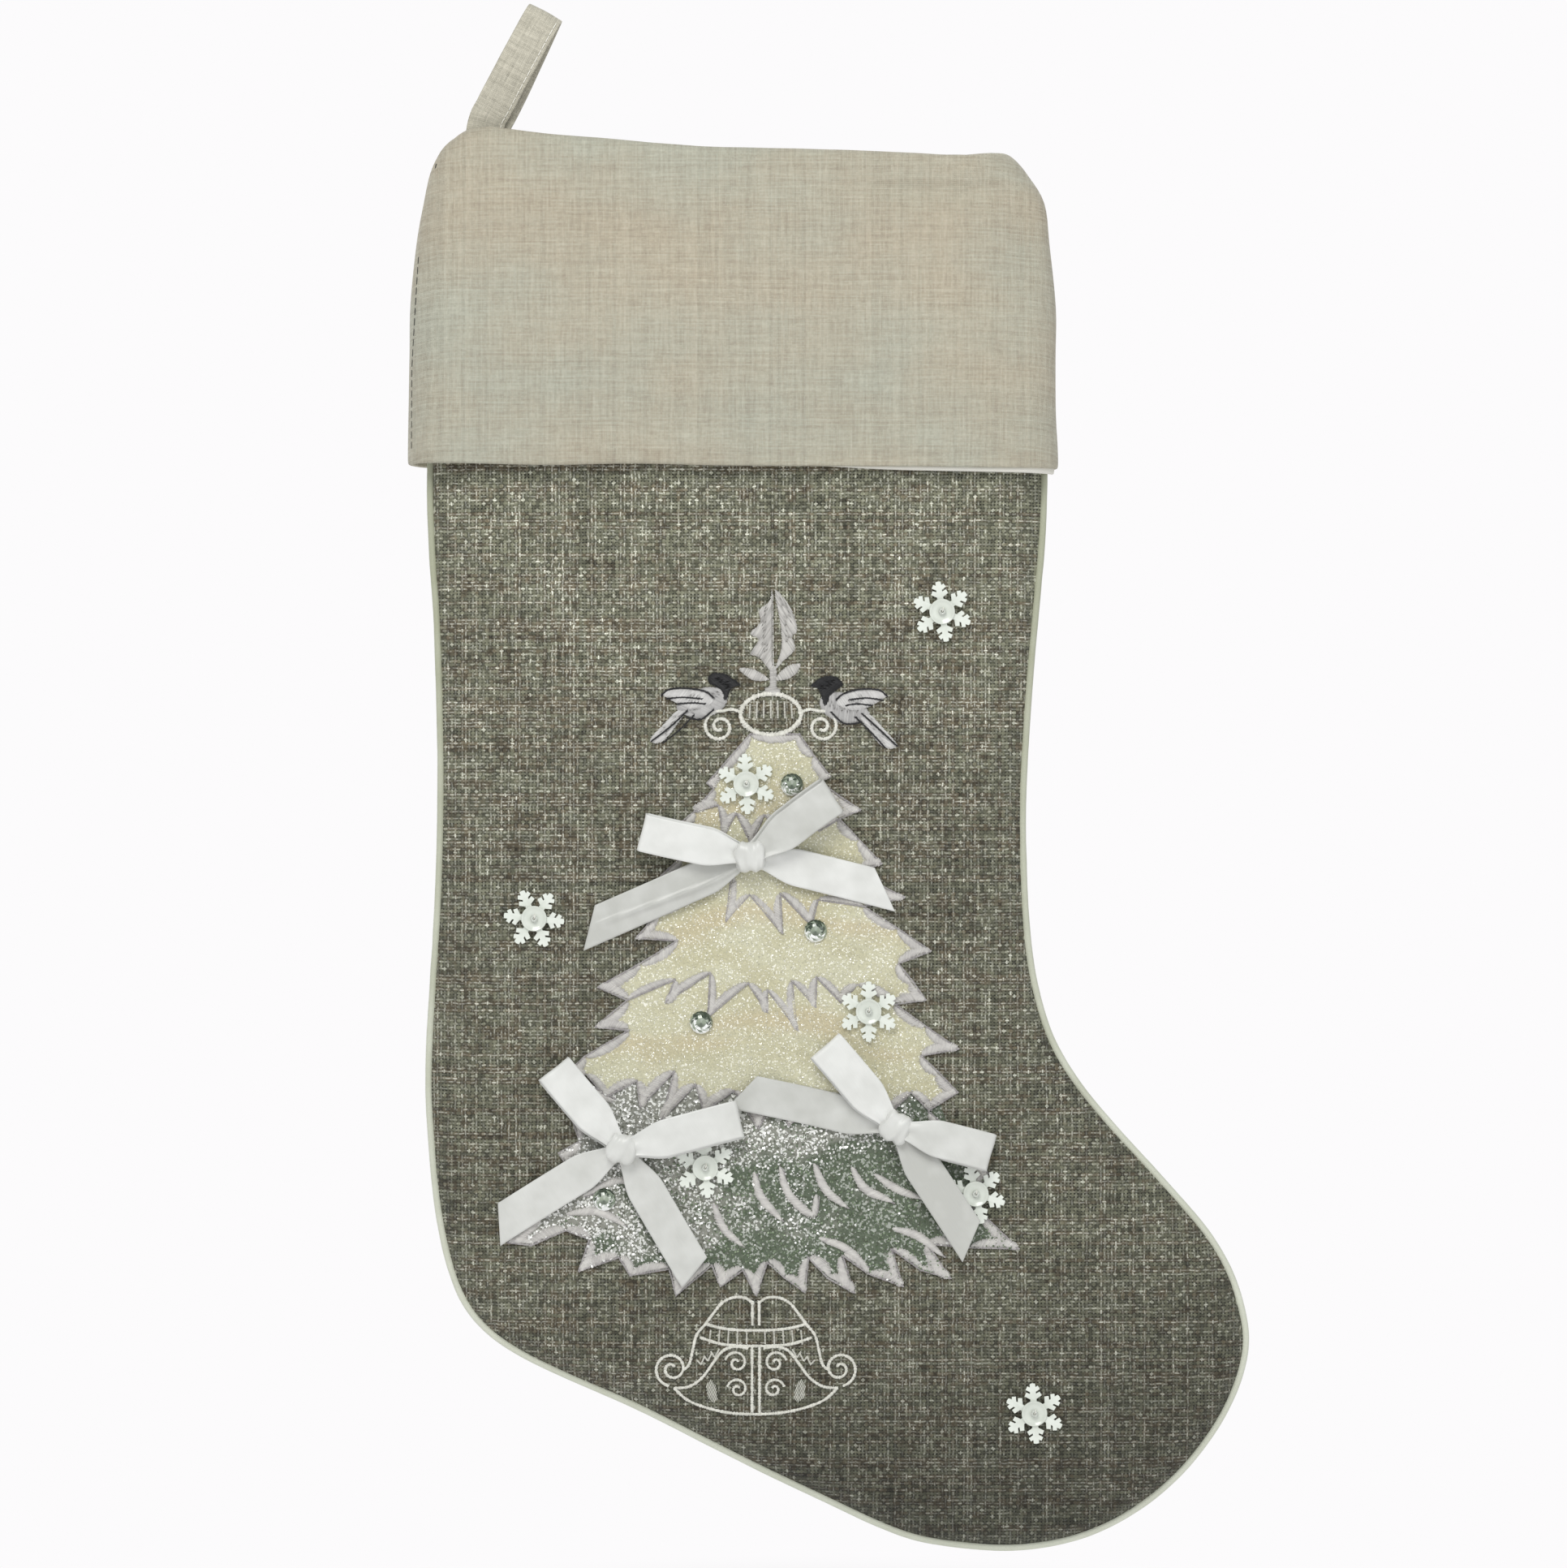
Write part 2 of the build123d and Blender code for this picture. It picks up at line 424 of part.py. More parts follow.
def cuff_solid(stations, off, h_off, first=0.0):
    wires = []
    for i, (l, r, h) in enumerate(stations):
        wires.append(Wire.make_polygon(lens((l[0] + off, l[1]), (r[0] - off, r[1]), h - h_off), close=True))
    return Solid.make_loft(wires, ruled=True)


cuff_out = cuff_solid(CUFF, 0.0, 0.0)
cav = [((M0[0] - CUFF_T, M0[1] + 0.05), (M1[0] + CUFF_T, M1[1] + 0.05), 10.5 + CUFF_T)]
cav += [(l, r, h) for l, r, h in CUFF[2:-1]]
l8, r8, h8 = CUFF[-1]
cav += [((l8[0], l8[1] - 1), (r8[0], r8[1] - 1), h8)]
cuff_in = cuff_solid(cav, CUFF_T, CUFF_T)
mouth = [(-19.0, 0.0), (-17.6, 5.4), (-13.0, 7.9), (130.0, 7.9), (134.6, 5.4), (136.0, 0.0), (134.6, -5.4), (130.0, -7.9), (-13.0, -7.9), (-17.6, -5.4)]
mouth_cut = extrude(Face(Wire.make_polygon([Vector(x, y, -70) for x, y in mouth], close=True)), amount=50, dir=(0, 0, 1))
cuff = cuff_out - cuff_in - mouth_cut - SLOT
save("cuff", max(cuff.solids(), key=lambda q: q.volume))

fac = CUFF[3:-1] + [((l8[0], l8[1] + 0.3), (r8[0], r8[1] + 0.3), h8)]
fac_cut = [((CUFF[3][0][0], CUFF[3][0][1] + 1), (CUFF[3][1][0], CUFF[3][1][1] + 1), CUFF[3][2])] + CUFF[3:-1] + [((l8[0], l8[1] - 1), (r8[0], r8[1] - 1), h8)]
facing = cuff_solid(fac, CUFF_T + 0.05, CUFF_T + 0.05) - cuff_solid(fac_cut, CUFF_T + 0.05 + FACING_T, CUFF_T + 0.05 + FACING_T) - SLOT
save("cuff_facing", max(facing.solids(), key=lambda q: q.volume))

# Short stitches down the cuff's back seam, standing on the cloth.
side = []
for k in range(14):
    z = -82.0 - 4.3 * k
    f = (z + 73.4) / (-144.7 + 73.4)
    xl = -40.7 + (-43.5 + 40.7) * min(1.0, f * 1.6)
    side.append(Pos(xl + 1.3, -5.4, z) * Box(0.5, 2.2, 2.6))
side = [s - cuff_out - cuff_in for s in side]
side = [max(s.solids(), key=lambda q: -q.center().Y) for s in side if s.solids()]
save("cuff_side_stitching", side)

# ---------------------------------------------------------------- tree
F0 = -PANEL_Y
F1 = F0 - APPLIQUE_T
F2 = F1 - THREAD_H
cream = prism(CREAM, F0, F1)
glitter = prism(GLITTER, F0, F1) - cream
save("tree_applique_cream", cream)
save("tree_applique_glitter", max(glitter.solids(), key=lambda q: q.volume))
edges = [stroke(p, w) for p, w in TIER_EDGES]
sprigs = [stroke(smooth(p, 3), w) for p, w in SPRIGS]
raised = [prism(e, F1, F2) for e in edges + sprigs]
for gx, gz in GEMS:
    raised = [r - Pos(gx, F1, gz) * Rot(90, 0, 0) * Cylinder(GEM_R + 0.2, 4) for r in raised]
save("tree_edge_embroidery", [s for r in raised for s in r.solids()])

TH = F0 - THREAD_H
save("leaf_finial_embroidery", field(LEAVES, F0, TH))


def ellipse(cx, cz, rx, rz, n=28):
    return [(cx + rx * math.cos(2 * math.pi * k / n), cz + rz * math.sin(2 * math.pi * k / n)) for k in range(n)]


leaf = field(LEAVES, F0, TH)
bowl = prism(ellipse(URN_RING[0], URN_RING[1], URN_RING[2], URN_RING[3]), F0, TH)
bowl = bowl - prism(ellipse(URN_RING[0], URN_RING[1], URN_RING[2] - 1.7, URN_RING[3] - 1.7), F0 + 1, TH - 1)
urn = bowl
for p, w in URN:
    urn = urn + prism(stroke(smooth(p, 3), w), F0, TH)
urn = urn - cream
for s in leaf.solids():
    urn = urn - s
found = urn.solids()
save("urn_embroidery", found[0] if len(found) == 1 else list(found))
save("stand_embroidery", field([stroke(smooth(p, 3), w) for p, w in STAND], F0, TH))
black = field([smooth(p, 3, True) for p in BIRD_BLACK], F0, TH - 0.1)
save("bird_black_thread", black)
for name, polys in (("bird_left", BIRD_L), ("bird_right", BIRD_R)):
    b = field([smooth(p, 3, True) for p in polys], F0, TH)
    for k in list(black.solids()) + list(urn.solids()):
        b = b - k
    found = b.solids()
    save(name, found[0] if len(found) == 1 else list(found))


# ---------------------------------------------------------------- sequins
def flake_outline():
    """Six arms, each with two pairs of barbs, round a disc."""
    pts = []
    arm = [(0.75, 3.9), (0.75, 4.9), (2.3, 6.3), (1.7, 6.9), (0.75, 6.2), (0.75, 7.1), (1.9, 8.2), (1.3, 8.8), (0.65, 8.3), (0.55, 9.4), (0.0, 9.8)]
    for k in range(6):
        a = math.radians(60 * k)
        for x, y in arm + [(-x, y) for x, y in reversed(arm[:-1])]:
            pts.append((x * math.cos(a) - y * math.sin(a), x * math.sin(a) + y * math.cos(a)))
    return pts


beads, stems = [], []
for i, (x, z, turn, ground) in enumerate(FLAKES):
    y0 = -(ground + 0.75)
    c, s = math.cos(math.radians(turn)), math.sin(math.radians(turn))
    pts = [(x + a * c - b * s, z + a * s + b * c) for a, b in flake_outline()]
    plate = prism(pts, y0, y0 - FLAKE_T)
    cup = Pos(x, y0 - FLAKE_T - 0.2, z) * Rot(90, 0, 0) * Cylinder(3.95, 0.4)
    cup = cup - Pos(x, y0 - FLAKE_T - 0.2, z) * Rot(90, 0, 0) * Cylinder(3.45, 0.6)
    body = (plate + cup) - Pos(x, y0, z) * Rot(90, 0, 0) * Cylinder(HOLE_R, 6)
    save(f"snowflake_{i + 1}", body.solids()[0])
    yb = y0 - FLAKE_T - 0.1 - BEAD_R
    stem = Pos(x, (-ground + yb) / 2, z) * Rot(90, 0, 0) * Cylinder(STEM_R, abs(yb + ground))
    ball = Pos(x, yb, z) * Sphere(BEAD_R) - Pos(x, yb, z) * Rot(90, 0, 0) * Cylinder(STEM_R, 10)
    beads.append(ball)
    stems.append(stem)
save("snowflake_beads", beads)
save("snowflake_threads", stems)


# ---------------------------------------------------------------- rhinestones
def polygon_at(x, z, y, r, n=16, a0=0.0):
    return Wire.make_polygon([Vector(x + r * math.cos(a0 + 2 * math.pi * k / n), y, z + r * math.sin(a0 + 2 * math.pi * k / n)) for k in range(n)], close=True)


gems = []
for x, z in GEMS:
    g = F1
    gems.append(Solid.make_loft([polygon_at(x, z, g, GEM_R * 0.8), polygon_at(x, z, g - 0.9, GEM_R), polygon_at(x, z, g - 1.3, GEM_R),
                                 polygon_at(x, z, g - 2.3, GEM_R * 0.78), polygon_at(x, z, g - 2.9, GEM_R * 0.5)], ruled=True))
save("rhinestones", gems)


# ---------------------------------------------------------------- bows
def arm_plan(c, ang, l0, l1, w0, w1, cut=0.0):
    """Plan of a ribbon arm, narrow at the knot; cut slants its end."""
    ca, sa = math.cos(math.radians(ang)), math.sin(math.radians(ang))
    loc = [(l0, -w0 / 2), (l0 + 4, -w0 / 2 - 0.4), (l0 + 13, -w1 / 2), (l1 + cut, -w1 / 2), (l1 - cut, w1 / 2), (l0 + 13, w1 / 2), (l0 + 4, w0 / 2 + 0.4), (l0, w0 / 2)]
    return [(c[0] + u * ca - v * sa, c[1] + u * sa + v * ca) for u, v in loc]


def bow(c, arms):
    out = []
    for kind, ang, length, low in arms:
        ca, sa = math.cos(math.radians(ang)), math.sin(math.radians(ang))
        if kind == "tail":
            out.append(prism(arm_plan(c, ang, 1.0, length, 6.0, RIBBON_W, 3.0), -low, -low - RIBBON_T))
        else:
            h = 3.6
            lo, hi = low, low + h
            prof = [(0.5, lo), (length - h / 2, lo)] + [(length - h / 2 + h / 2 * math.sin(a), lo + h / 2 - h / 2 * math.cos(a)) for a in [math.radians(k * 30) for k in range(1, 6)]] + [(length - h / 2, hi), (0.5, hi)]
            t = RIBBON_T
            hi2, lo2, h2 = hi - t, lo + t, h - 2 * t
            inn = [(2.0, lo2), (length - h / 2, lo2)] + [(length - h / 2 + h2 / 2 * math.sin(a), lo2 + h2 / 2 - h2 / 2 * math.cos(a)) for a in [math.radians(k * 30) for k in range(1, 6)]] + [(length - h / 2, hi2), (2.0, hi2)]

            def side_band(p, w):
                o = (c[0] + w / 2 * sa, c[1] - w / 2 * ca)
                f = Face(Wire.make_polygon([Vector(o[0] + u * ca, -y, o[1] + u * sa) for u, y in p], close=True))
                return extrude(f, amount=w, dir=(-sa, 0, ca))
            b = side_band(prof, RIBBON_W) - side_band(inn, RIBBON_W + 2)
            b = b & prism(arm_plan(c, ang, 0.0, length + 5, 6.0, RIBBON_W), -low + 1, -hi - 1)
            out += list(b.solids())
    loops = [a for k, a, *_ in arms if k == "loop"]
    # The knot stands across the mean line of the two loops.
    la = math.radians(loops[0])
    axis = math.degrees(math.atan2(math.sin(la) - math.sin(math.radians(loops[1])), math.cos(la) - math.cos(math.radians(loops[1]))))
    k = Box(7.0, 7.4, 9.6)
    k = fillet(k.edges().filter_by(Axis.Z), 2.2)
    k = fillet(k.edges(), 0.8)
    k = Pos(c[0], -15.65, c[1]) * Rot(0, -axis, 0) * k
    body = k
    for o in out:
        body = body + o
    body = body - Pos(c[0], -13.0, c[1]) * Rot(90, 0, 0) * Cylinder(HOLE_R, 4.2) - Pos(c[0], -15.0, c[1]) * Sphere(1.38)
    return max(body.solids(), key=lambda q: q.volume)


tacks = []
for name, (c, arms) in BOWS.items():
    save(name, bow(c, arms))
    st = Pos(c[0], (F1 - 14.0) / 2, c[1]) * Rot(90, 0, 0) * Cylinder(STEM_R, 14.0 + F1)
    st = st + Pos(c[0], -15.0, c[1]) * Sphere(1.3)
    tacks.append(st.solids()[0])
save("bow_tack_threads", tacks)
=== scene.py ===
import bpy
import bmesh
import math
import numpy as np
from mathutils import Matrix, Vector
from mathutils.bvhtree import BVHTree
from mathutils.geometry import delaunay_2d_cdt


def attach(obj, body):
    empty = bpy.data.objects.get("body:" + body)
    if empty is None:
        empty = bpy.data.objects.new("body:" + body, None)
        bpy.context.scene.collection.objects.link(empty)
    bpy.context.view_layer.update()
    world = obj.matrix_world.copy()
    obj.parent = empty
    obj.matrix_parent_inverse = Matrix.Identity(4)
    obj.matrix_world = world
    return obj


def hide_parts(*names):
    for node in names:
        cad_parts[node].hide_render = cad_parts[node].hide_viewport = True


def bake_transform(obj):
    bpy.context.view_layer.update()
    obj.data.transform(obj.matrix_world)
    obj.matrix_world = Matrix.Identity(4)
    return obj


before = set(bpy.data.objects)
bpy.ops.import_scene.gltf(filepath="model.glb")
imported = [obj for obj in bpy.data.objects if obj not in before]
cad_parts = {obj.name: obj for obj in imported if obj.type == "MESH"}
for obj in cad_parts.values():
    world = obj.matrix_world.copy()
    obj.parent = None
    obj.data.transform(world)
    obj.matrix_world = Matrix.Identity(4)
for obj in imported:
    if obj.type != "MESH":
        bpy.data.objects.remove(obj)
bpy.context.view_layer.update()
RNG = np.random.default_rng(20)
MM = 0.001

# ------------------------------------------------------------------ layout, mm
LEG = [(-25.6, -36.0), (-27.4, -41.0), (-30.2, -47.5), (-32.2, -54.5), (-34.0, -65.5), (-35.4, -81.2),
    (-36.9, -107.4), (-37.7, -136.2), (-38.0, -154.6), (-37.2, -175.5), (-35.9, -193.9), (-35.1, -217.5),
    (-34.6, -241.0), (-34.8, -264.6), (-35.6, -288.2), (-36.9, -309.2), (-38.0, -327.5), (-38.5, -345.8),
    (-37.7, -361.6), (-36.4, -377.3), (-34.3, -391.7), (-31.2, -404.8), (-26.5, -416.1), (-19.1, -425.0),
    (-8.1, -432.6), (7.6, -440.2), (28.6, -449.3), (49.5, -459.8), (70.5, -470.3), (91.4, -480.2),
    (107.2, -487.6), (120.3, -492.3), (136.0, -494.7), (151.7, -495.4), (167.4, -493.3), (180.5, -488.9),
    (192.3, -482.3), (203.6, -473.2), (212.5, -463.2), (220.3, -451.4), (225.6, -438.9), (227.7, -427.1),
    (225.8, -415.3), (221.9, -404.0), (215.1, -392.5), (205.4, -380.9), (194.1, -368.4), (183.1, -356.3),
    (172.7, -343.5), (164.8, -330.1), (159.8, -314.4), (157.2, -298.7), (155.9, -277.7), (155.6, -254.1),
    (156.7, -230.6), (158.2, -209.6), (160.1, -188.6), (161.7, -170.3), (162.4, -154.6), (162.4, -141.5),
    (161.4, -115.3), (158.6, -91.7), (155.2, -73.4), (151.2, -60.3), (147.0, -51.6), (143.4, -45.5),
    (141.0, -38.0)]
CREAM = [(66.5, -231.9), (82.3, -231.9), (87.0, -238.9), (92.2, -245.5), (88.8, -247.1), (95.4, -252.0),
    (101.9, -256.2), (95.1, -259.1), (101.4, -265.7), (108.7, -273.5), (101.9, -275.6), (109.3, -280.9),
    (116.1, -284.3), (103.0, -287.2), (113.7, -294.2), (124.5, -301.6), (114.0, -305.5), (118.7, -311.3),
    (122.9, -317.3), (112.9, -318.6), (122.9, -325.7), (133.4, -333.0), (121.3, -335.1), (127.1, -340.6),
    (133.1, -346.9), (123.9, -352.7), (118.2, -346.9), (108.7, -356.3), (104.0, -348.5), (94.1, -357.4),
    (88.8, -349.0), (78.9, -357.4), (74.4, -348.5), (69.2, -358.4), (61.3, -346.4), (51.6, -353.2),
    (49.0, -344.3), (38.0, -355.8), (42.2, -340.1), (31.2, -351.6), (30.1, -343.2), (20.2, -348.5),
    (13.9, -341.1), (6.0, -342.2), (13.4, -335.4), (27.5, -327.0), (16.8, -325.9), (27.0, -317.3),
    (17.6, -313.1), (31.2, -305.5), (43.2, -298.2), (29.9, -297.4), (36.9, -289.2), (45.9, -282.4),
    (35.4, -279.8), (44.3, -271.4), (52.7, -265.7), (42.2, -262.0), (48.5, -256.8), (54.8, -249.4),
    (52.7, -247.6), (55.8, -244.2)]
GLITTER = [(13.4, -343.7), (23.3, -349.0), (33.8, -352.1), (60.0, -354.2), (86.2, -357.4), (112.4, -354.2),
    (123.9, -353.2), (132.3, -360.5), (144.4, -374.7), (137.6, -376.2), (140.2, -385.1), (152.7, -397.2),
    (137.0, -396.7), (123.4, -395.6), (130.7, -406.6), (121.3, -404.0), (111.9, -397.2), (115.5, -409.2),
    (104.5, -405.1), (96.2, -399.3), (99.8, -411.1), (91.4, -406.6), (85.2, -399.8), (84.1, -411.1),
    (77.3, -406.1), (72.0, -401.4), (68.4, -411.9), (64.2, -404.0), (56.9, -409.2), (54.2, -402.4),
    (42.7, -411.9), (40.6, -403.5), (28.0, -405.6), (24.4, -399.8), (11.5, -404.3), (14.9, -394.0),
    (7.3, -391.2), (-3.7, -395.9), (-11.3, -395.1), (-0.8, -385.1), (10.7, -375.2), (5.0, -366.3),
    (11.8, -362.6), (8.6, -353.2)]
TIER_EDGES = [([(48.5, -256.8), (56.3, -254.7), (57.9, -264.1), (62.1, -257.3), (66.8, -267.2), (71.0, -257.8),
    (77.3, -264.6), (82.0, -257.8), (88.8, -263.0), (95.1, -259.1)], 1.5), ([(36.9, -289.2), (49.5, -281.9),
    (60.5, -276.7), (58.7, -291.9), (66.3, -283.5), (76.8, -295.8), (76.2, -283.0), (86.2, -293.4),
    (88.3, -285.1), (103.0, -287.2)], 1.5), ([(27.0, -317.3), (42.4, -310.7), (39.3, -318.1), (53.7, -308.4),
    (52.9, -322.8), (65.8, -311.8), (72.0, -321.2), (72.0, -313.9), (81.7, -327.0), (79.9, -311.0),
    (87.5, -319.6), (87.8, -309.9), (95.6, -318.1), (100.9, -312.3), (112.9, -318.6)], 1.5)]
SPRIGS = [([(67.9, -372.6), (70.0, -380.4), (76.2, -387.8)], 1.5), ([(76.2, -371.0), (78.9, -379.4), (86.2, -386.2),
    (87.8, -379.9)], 1.5), ([(87.2, -369.9), (90.9, -378.3), (97.2, -383.6)], 1.5), ([(99.3, -371.0),
    (103.5, -377.8), (111.9, -382.0)], 1.5), ([(106.6, -373.1), (113.4, -377.8), (121.3, -380.9)], 1.4),
    ([(33.8, -379.9), (40.6, -386.7), (43.2, -395.6)], 1.4), ([(54.8, -382.5), (57.9, -390.4),
    (63.7, -396.1)], 1.4), ([(12.8, -379.9), (23.8, -375.2), (31.2, -377.8)], 1.3), ([(112.4, -390.4),
    (120.3, -393.0), (128.1, -399.3)], 1.5), ([(88.8, -393.5), (96.7, -396.7), (103.5, -402.4)], 1.4),
    ([(7.6, -385.7), (17.6, -385.1), (25.9, -389.3)], 1.4)]
LEAVES = [[(73.6, -185.2), (72.8, -189.2), (69.4, -192.0), (69.7, -196.2), (66.3, -199.6), (69.2, -201.5),
    (66.5, -206.2), (69.4, -207.2), (73.4, -211.7), (73.6, -204.4)], [(74.4, -185.5), (79.4, -191.3),
    (81.7, -198.1), (79.9, -200.7), (81.0, -204.4), (77.3, -208.3), (74.4, -211.2), (76.5, -204.4),
    (76.2, -196.5)], [(63.1, -210.6), (67.9, -211.2), (72.6, -214.3), (68.4, -214.8),
    (64.7, -213.0)], [(82.5, -209.3), (78.3, -210.1), (74.4, -214.3), (78.3, -214.3),
    (81.5, -212.2)], [(72.8, -210.6), (74.9, -210.6), (74.9, -216.4), (76.2, -217.5), (75.7, -219.0),
    (73.6, -219.6), (71.5, -218.8), (71.3, -217.2), (72.8, -216.2)]]
URN = [([(69.4, -220.6), (69.4, -231.3)], 1.2), ([(73.1, -219.6), (73.1, -232.1)], 1.2), ([(76.8, -220.6),
    (76.8, -231.3)], 1.2), ([(63.4, -225.3), (56.6, -224.3), (51.9, -227.7), (51.1, -231.6), (53.2, -235.3),
    (56.9, -235.8), (59.5, -233.2), (59.0, -230.8)], 1.6), ([(82.8, -225.6), (89.3, -225.1), (93.8, -227.7),
    (95.4, -231.6), (93.8, -235.3), (90.1, -235.8), (87.8, -233.4), (88.3, -231.1)], 1.6)]
URN_RING = (73.1, -225.5, 9.7, 6.6)
STAND = [([(52.7, -419.2), (54.8, -415.0), (60.0, -412.9), (65.0, -414.5), (68.1, -418.2)], 1.5), ([(68.1, -418.2),
    (71.3, -414.5), (75.7, -412.7), (81.0, -415.0), (83.6, -419.2)], 1.5), ([(51.6, -418.2), (59.5, -420.2),
    (68.1, -421.0), (76.2, -420.2), (84.6, -417.9)], 1.5), ([(48.2, -422.9), (56.3, -425.2), (68.1, -426.3),
    (78.9, -425.2), (88.0, -422.9)], 1.6), ([(68.1, -415.5), (68.1, -449.6)], 1.6), ([(60.8, -420.5),
    (60.8, -425.8)], 1.3), ([(64.5, -421.0), (64.5, -426.0)], 1.3), ([(72.0, -421.0), (72.0, -426.0)], 1.3),
    ([(75.7, -420.5), (75.7, -425.8)], 1.3), ([(52.1, -418.2), (49.0, -422.3), (47.2, -427.1), (45.9, -431.8),
    (43.2, -435.4), (39.6, -436.0)], 1.7), ([(84.1, -418.2), (87.5, -421.8), (89.6, -427.1), (90.9, -431.8),
    (93.5, -435.4), (97.2, -436.0)], 1.7), ([(66.0, -429.7), (60.0, -427.1), (54.8, -429.2), (51.1, -433.9),
    (46.9, -438.6), (41.4, -440.7), (36.7, -438.6), (35.4, -433.9), (39.0, -430.7), (43.8, -431.8)], 1.7),
    ([(70.5, -429.7), (76.2, -427.1), (81.7, -429.2), (85.4, -433.9), (89.3, -438.6), (95.1, -440.7),
    (100.1, -438.6), (101.4, -433.9), (98.0, -430.7), (93.0, -431.8)], 1.7), ([(67.3, -436.5), (63.1, -436.0),
    (60.0, -432.8), (61.6, -430.7)], 1.4), ([(68.9, -436.5), (73.1, -436.0), (76.2, -432.8),
    (74.7, -430.7)], 1.4), ([(67.9, -440.2), (63.7, -438.6), (60.0, -440.2), (60.5, -443.3),
    (63.7, -443.8)], 1.4), ([(68.4, -440.2), (72.6, -438.6), (76.8, -440.2), (76.2, -443.3),
    (73.1, -443.8)], 1.4), ([(39.6, -441.2), (44.3, -444.9), (54.8, -448.0), (68.1, -449.1), (82.0, -448.0),
    (92.0, -444.9), (96.7, -441.2)], 1.8)]
BIRD_L = [[(57.4, -217.5), (59.2, -220.6), (57.1, -224.3), (51.1, -226.9), (45.9, -225.8), (42.7, -223.2),
    (45.9, -220.1), (51.6, -216.9)], [(46.9, -223.7), (44.8, -226.4), (40.1, -232.7), (36.9, -234.8),
    (34.3, -233.7), (38.5, -229.0), (43.2, -224.3)]]
BIRD_R = [[(90.4, -219.0), (88.8, -222.2), (90.9, -225.8), (96.7, -228.7), (101.9, -227.9), (104.8, -225.1),
    (101.4, -221.7), (96.2, -218.5)], [(100.9, -225.3), (103.0, -228.5), (107.7, -234.8), (111.4, -236.6),
    (113.7, -235.3), (109.8, -230.6), (105.1, -225.8)]]
BIRD_BLACK = [[(61.3, -216.9), (60.0, -213.8), (56.9, -213.0), (54.0, -214.8), (53.7, -217.7), (55.8, -220.1),
    (59.0, -219.8), (60.8, -218.0), (63.7, -216.4)], [(87.2, -218.2), (88.3, -215.4), (91.4, -214.3),
    (94.3, -216.2), (94.8, -219.0), (92.7, -221.7), (89.3, -221.4), (87.8, -219.6), (85.2, -217.5)]]
WINGS = [[(38.3, -219.3), (40.3, -217.5), (45.9, -217.2), (51.9, -218.2), (54.8, -220.6), (52.7, -223.0),
    (47.9, -223.7), (43.2, -222.2), (40.1, -220.3)], [(110.3, -219.6), (108.2, -217.7), (102.4, -217.5),
    (96.7, -218.8), (94.1, -221.1), (96.2, -223.5), (100.9, -224.3), (105.6, -222.7), (108.7, -220.9)]]
WING_LINES = [[[(38.0, -219.6), (40.6, -217.5), (46.4, -217.2), (52.1, -218.2), (54.8, -220.3)], [(39.6, -220.6),
    (44.8, -220.1), (51.1, -220.6)], [(43.2, -222.2), (47.9, -221.9), (52.1, -222.2)], [(46.4, -224.3),
    (40.6, -229.8), (34.8, -234.2)], [(48.5, -225.8), (43.8, -230.6), (38.5, -234.8)], [(54.8, -224.0),
    (50.6, -227.2), (45.9, -226.4)]], [[(110.6, -219.8), (107.7, -217.7), (101.9, -217.5), (96.7, -218.8),
    (94.1, -220.9)], [(109.3, -221.1), (104.0, -220.3), (98.2, -220.9)], [(105.6, -222.7), (100.9, -222.2),
    (97.2, -222.7)], [(102.4, -225.3), (108.2, -230.6), (113.7, -235.8)], [(100.3, -226.4), (105.1, -231.1),
    (109.8, -236.3)], [(92.5, -224.8), (96.7, -228.5), (101.9, -228.2)]]]
FLAKES = [(128.1, -192.6, 8, 10.0), (-2.9, -291.1, 24, 10.0), (65.2, -247.9, 3, 11.1), (104.5, -320.9, 0, 11.1),
    (52.1, -371.0, 5, 11.1), (138.9, -379.4, 12, 10.6), (157.7, -449.9, 4, 10.0)]
GEMS = [(79.9, -248.1), (87.5, -295.0), (50.8, -324.4), (19.7, -381.2)]
STAND_X = 68.3
M0, M1 = (-27.0, -37.75), (145.0, -46.35)


def mouth_z(x):
    return M0[1] + (M1[1] - M0[1]) * (x - M0[0]) / (M1[0] - M0[0])


# ------------------------------------------------------------------ small helpers
def catmull(pts, per=8, closed=False):
    p = np.array(pts, float)
    n = len(p)
    out = []
    for i in range(n if closed else n - 1):
        if closed:
            a, b, c, d = (p[(i + k) % n] for k in (-1, 0, 1, 2))
        else:
            a, b, c, d = p[max(i - 1, 0)], p[i], p[i + 1], p[min(i + 2, n - 1)]
        for j in range(per):
            t = j / per
            out.append(0.5 * (2 * b + (c - a) * t + (2 * a - 5 * b + 4 * c - d) * t * t + (3 * b - a - 3 * c + d) * t ** 3))
    if not closed:
        out.append(p[-1])
    return np.array(out)


def resample(pts, step, closed=False):
    p = np.array(pts, float)
    if closed:
        p = np.vstack([p, p[:1]])
    seg = np.linalg.norm(np.diff(p, axis=0), axis=1)
    s = np.concatenate([[0], np.cumsum(seg)])
    n = max(2, int(round(s[-1] / step)))
    q = np.linspace(0, s[-1], n + 1)
    out = np.stack([np.interp(q, s, p[:, k]) for k in range(p.shape[1])], 1)
    return out[:-1] if closed else out


def tangents(p, closed=False):
    if closed:
        t = np.roll(p, -1, 0) - np.roll(p, 1, 0)
    else:
        t = np.gradient(p, axis=0)
    return t / np.maximum(np.linalg.norm(t, axis=1, keepdims=True), 1e-9)


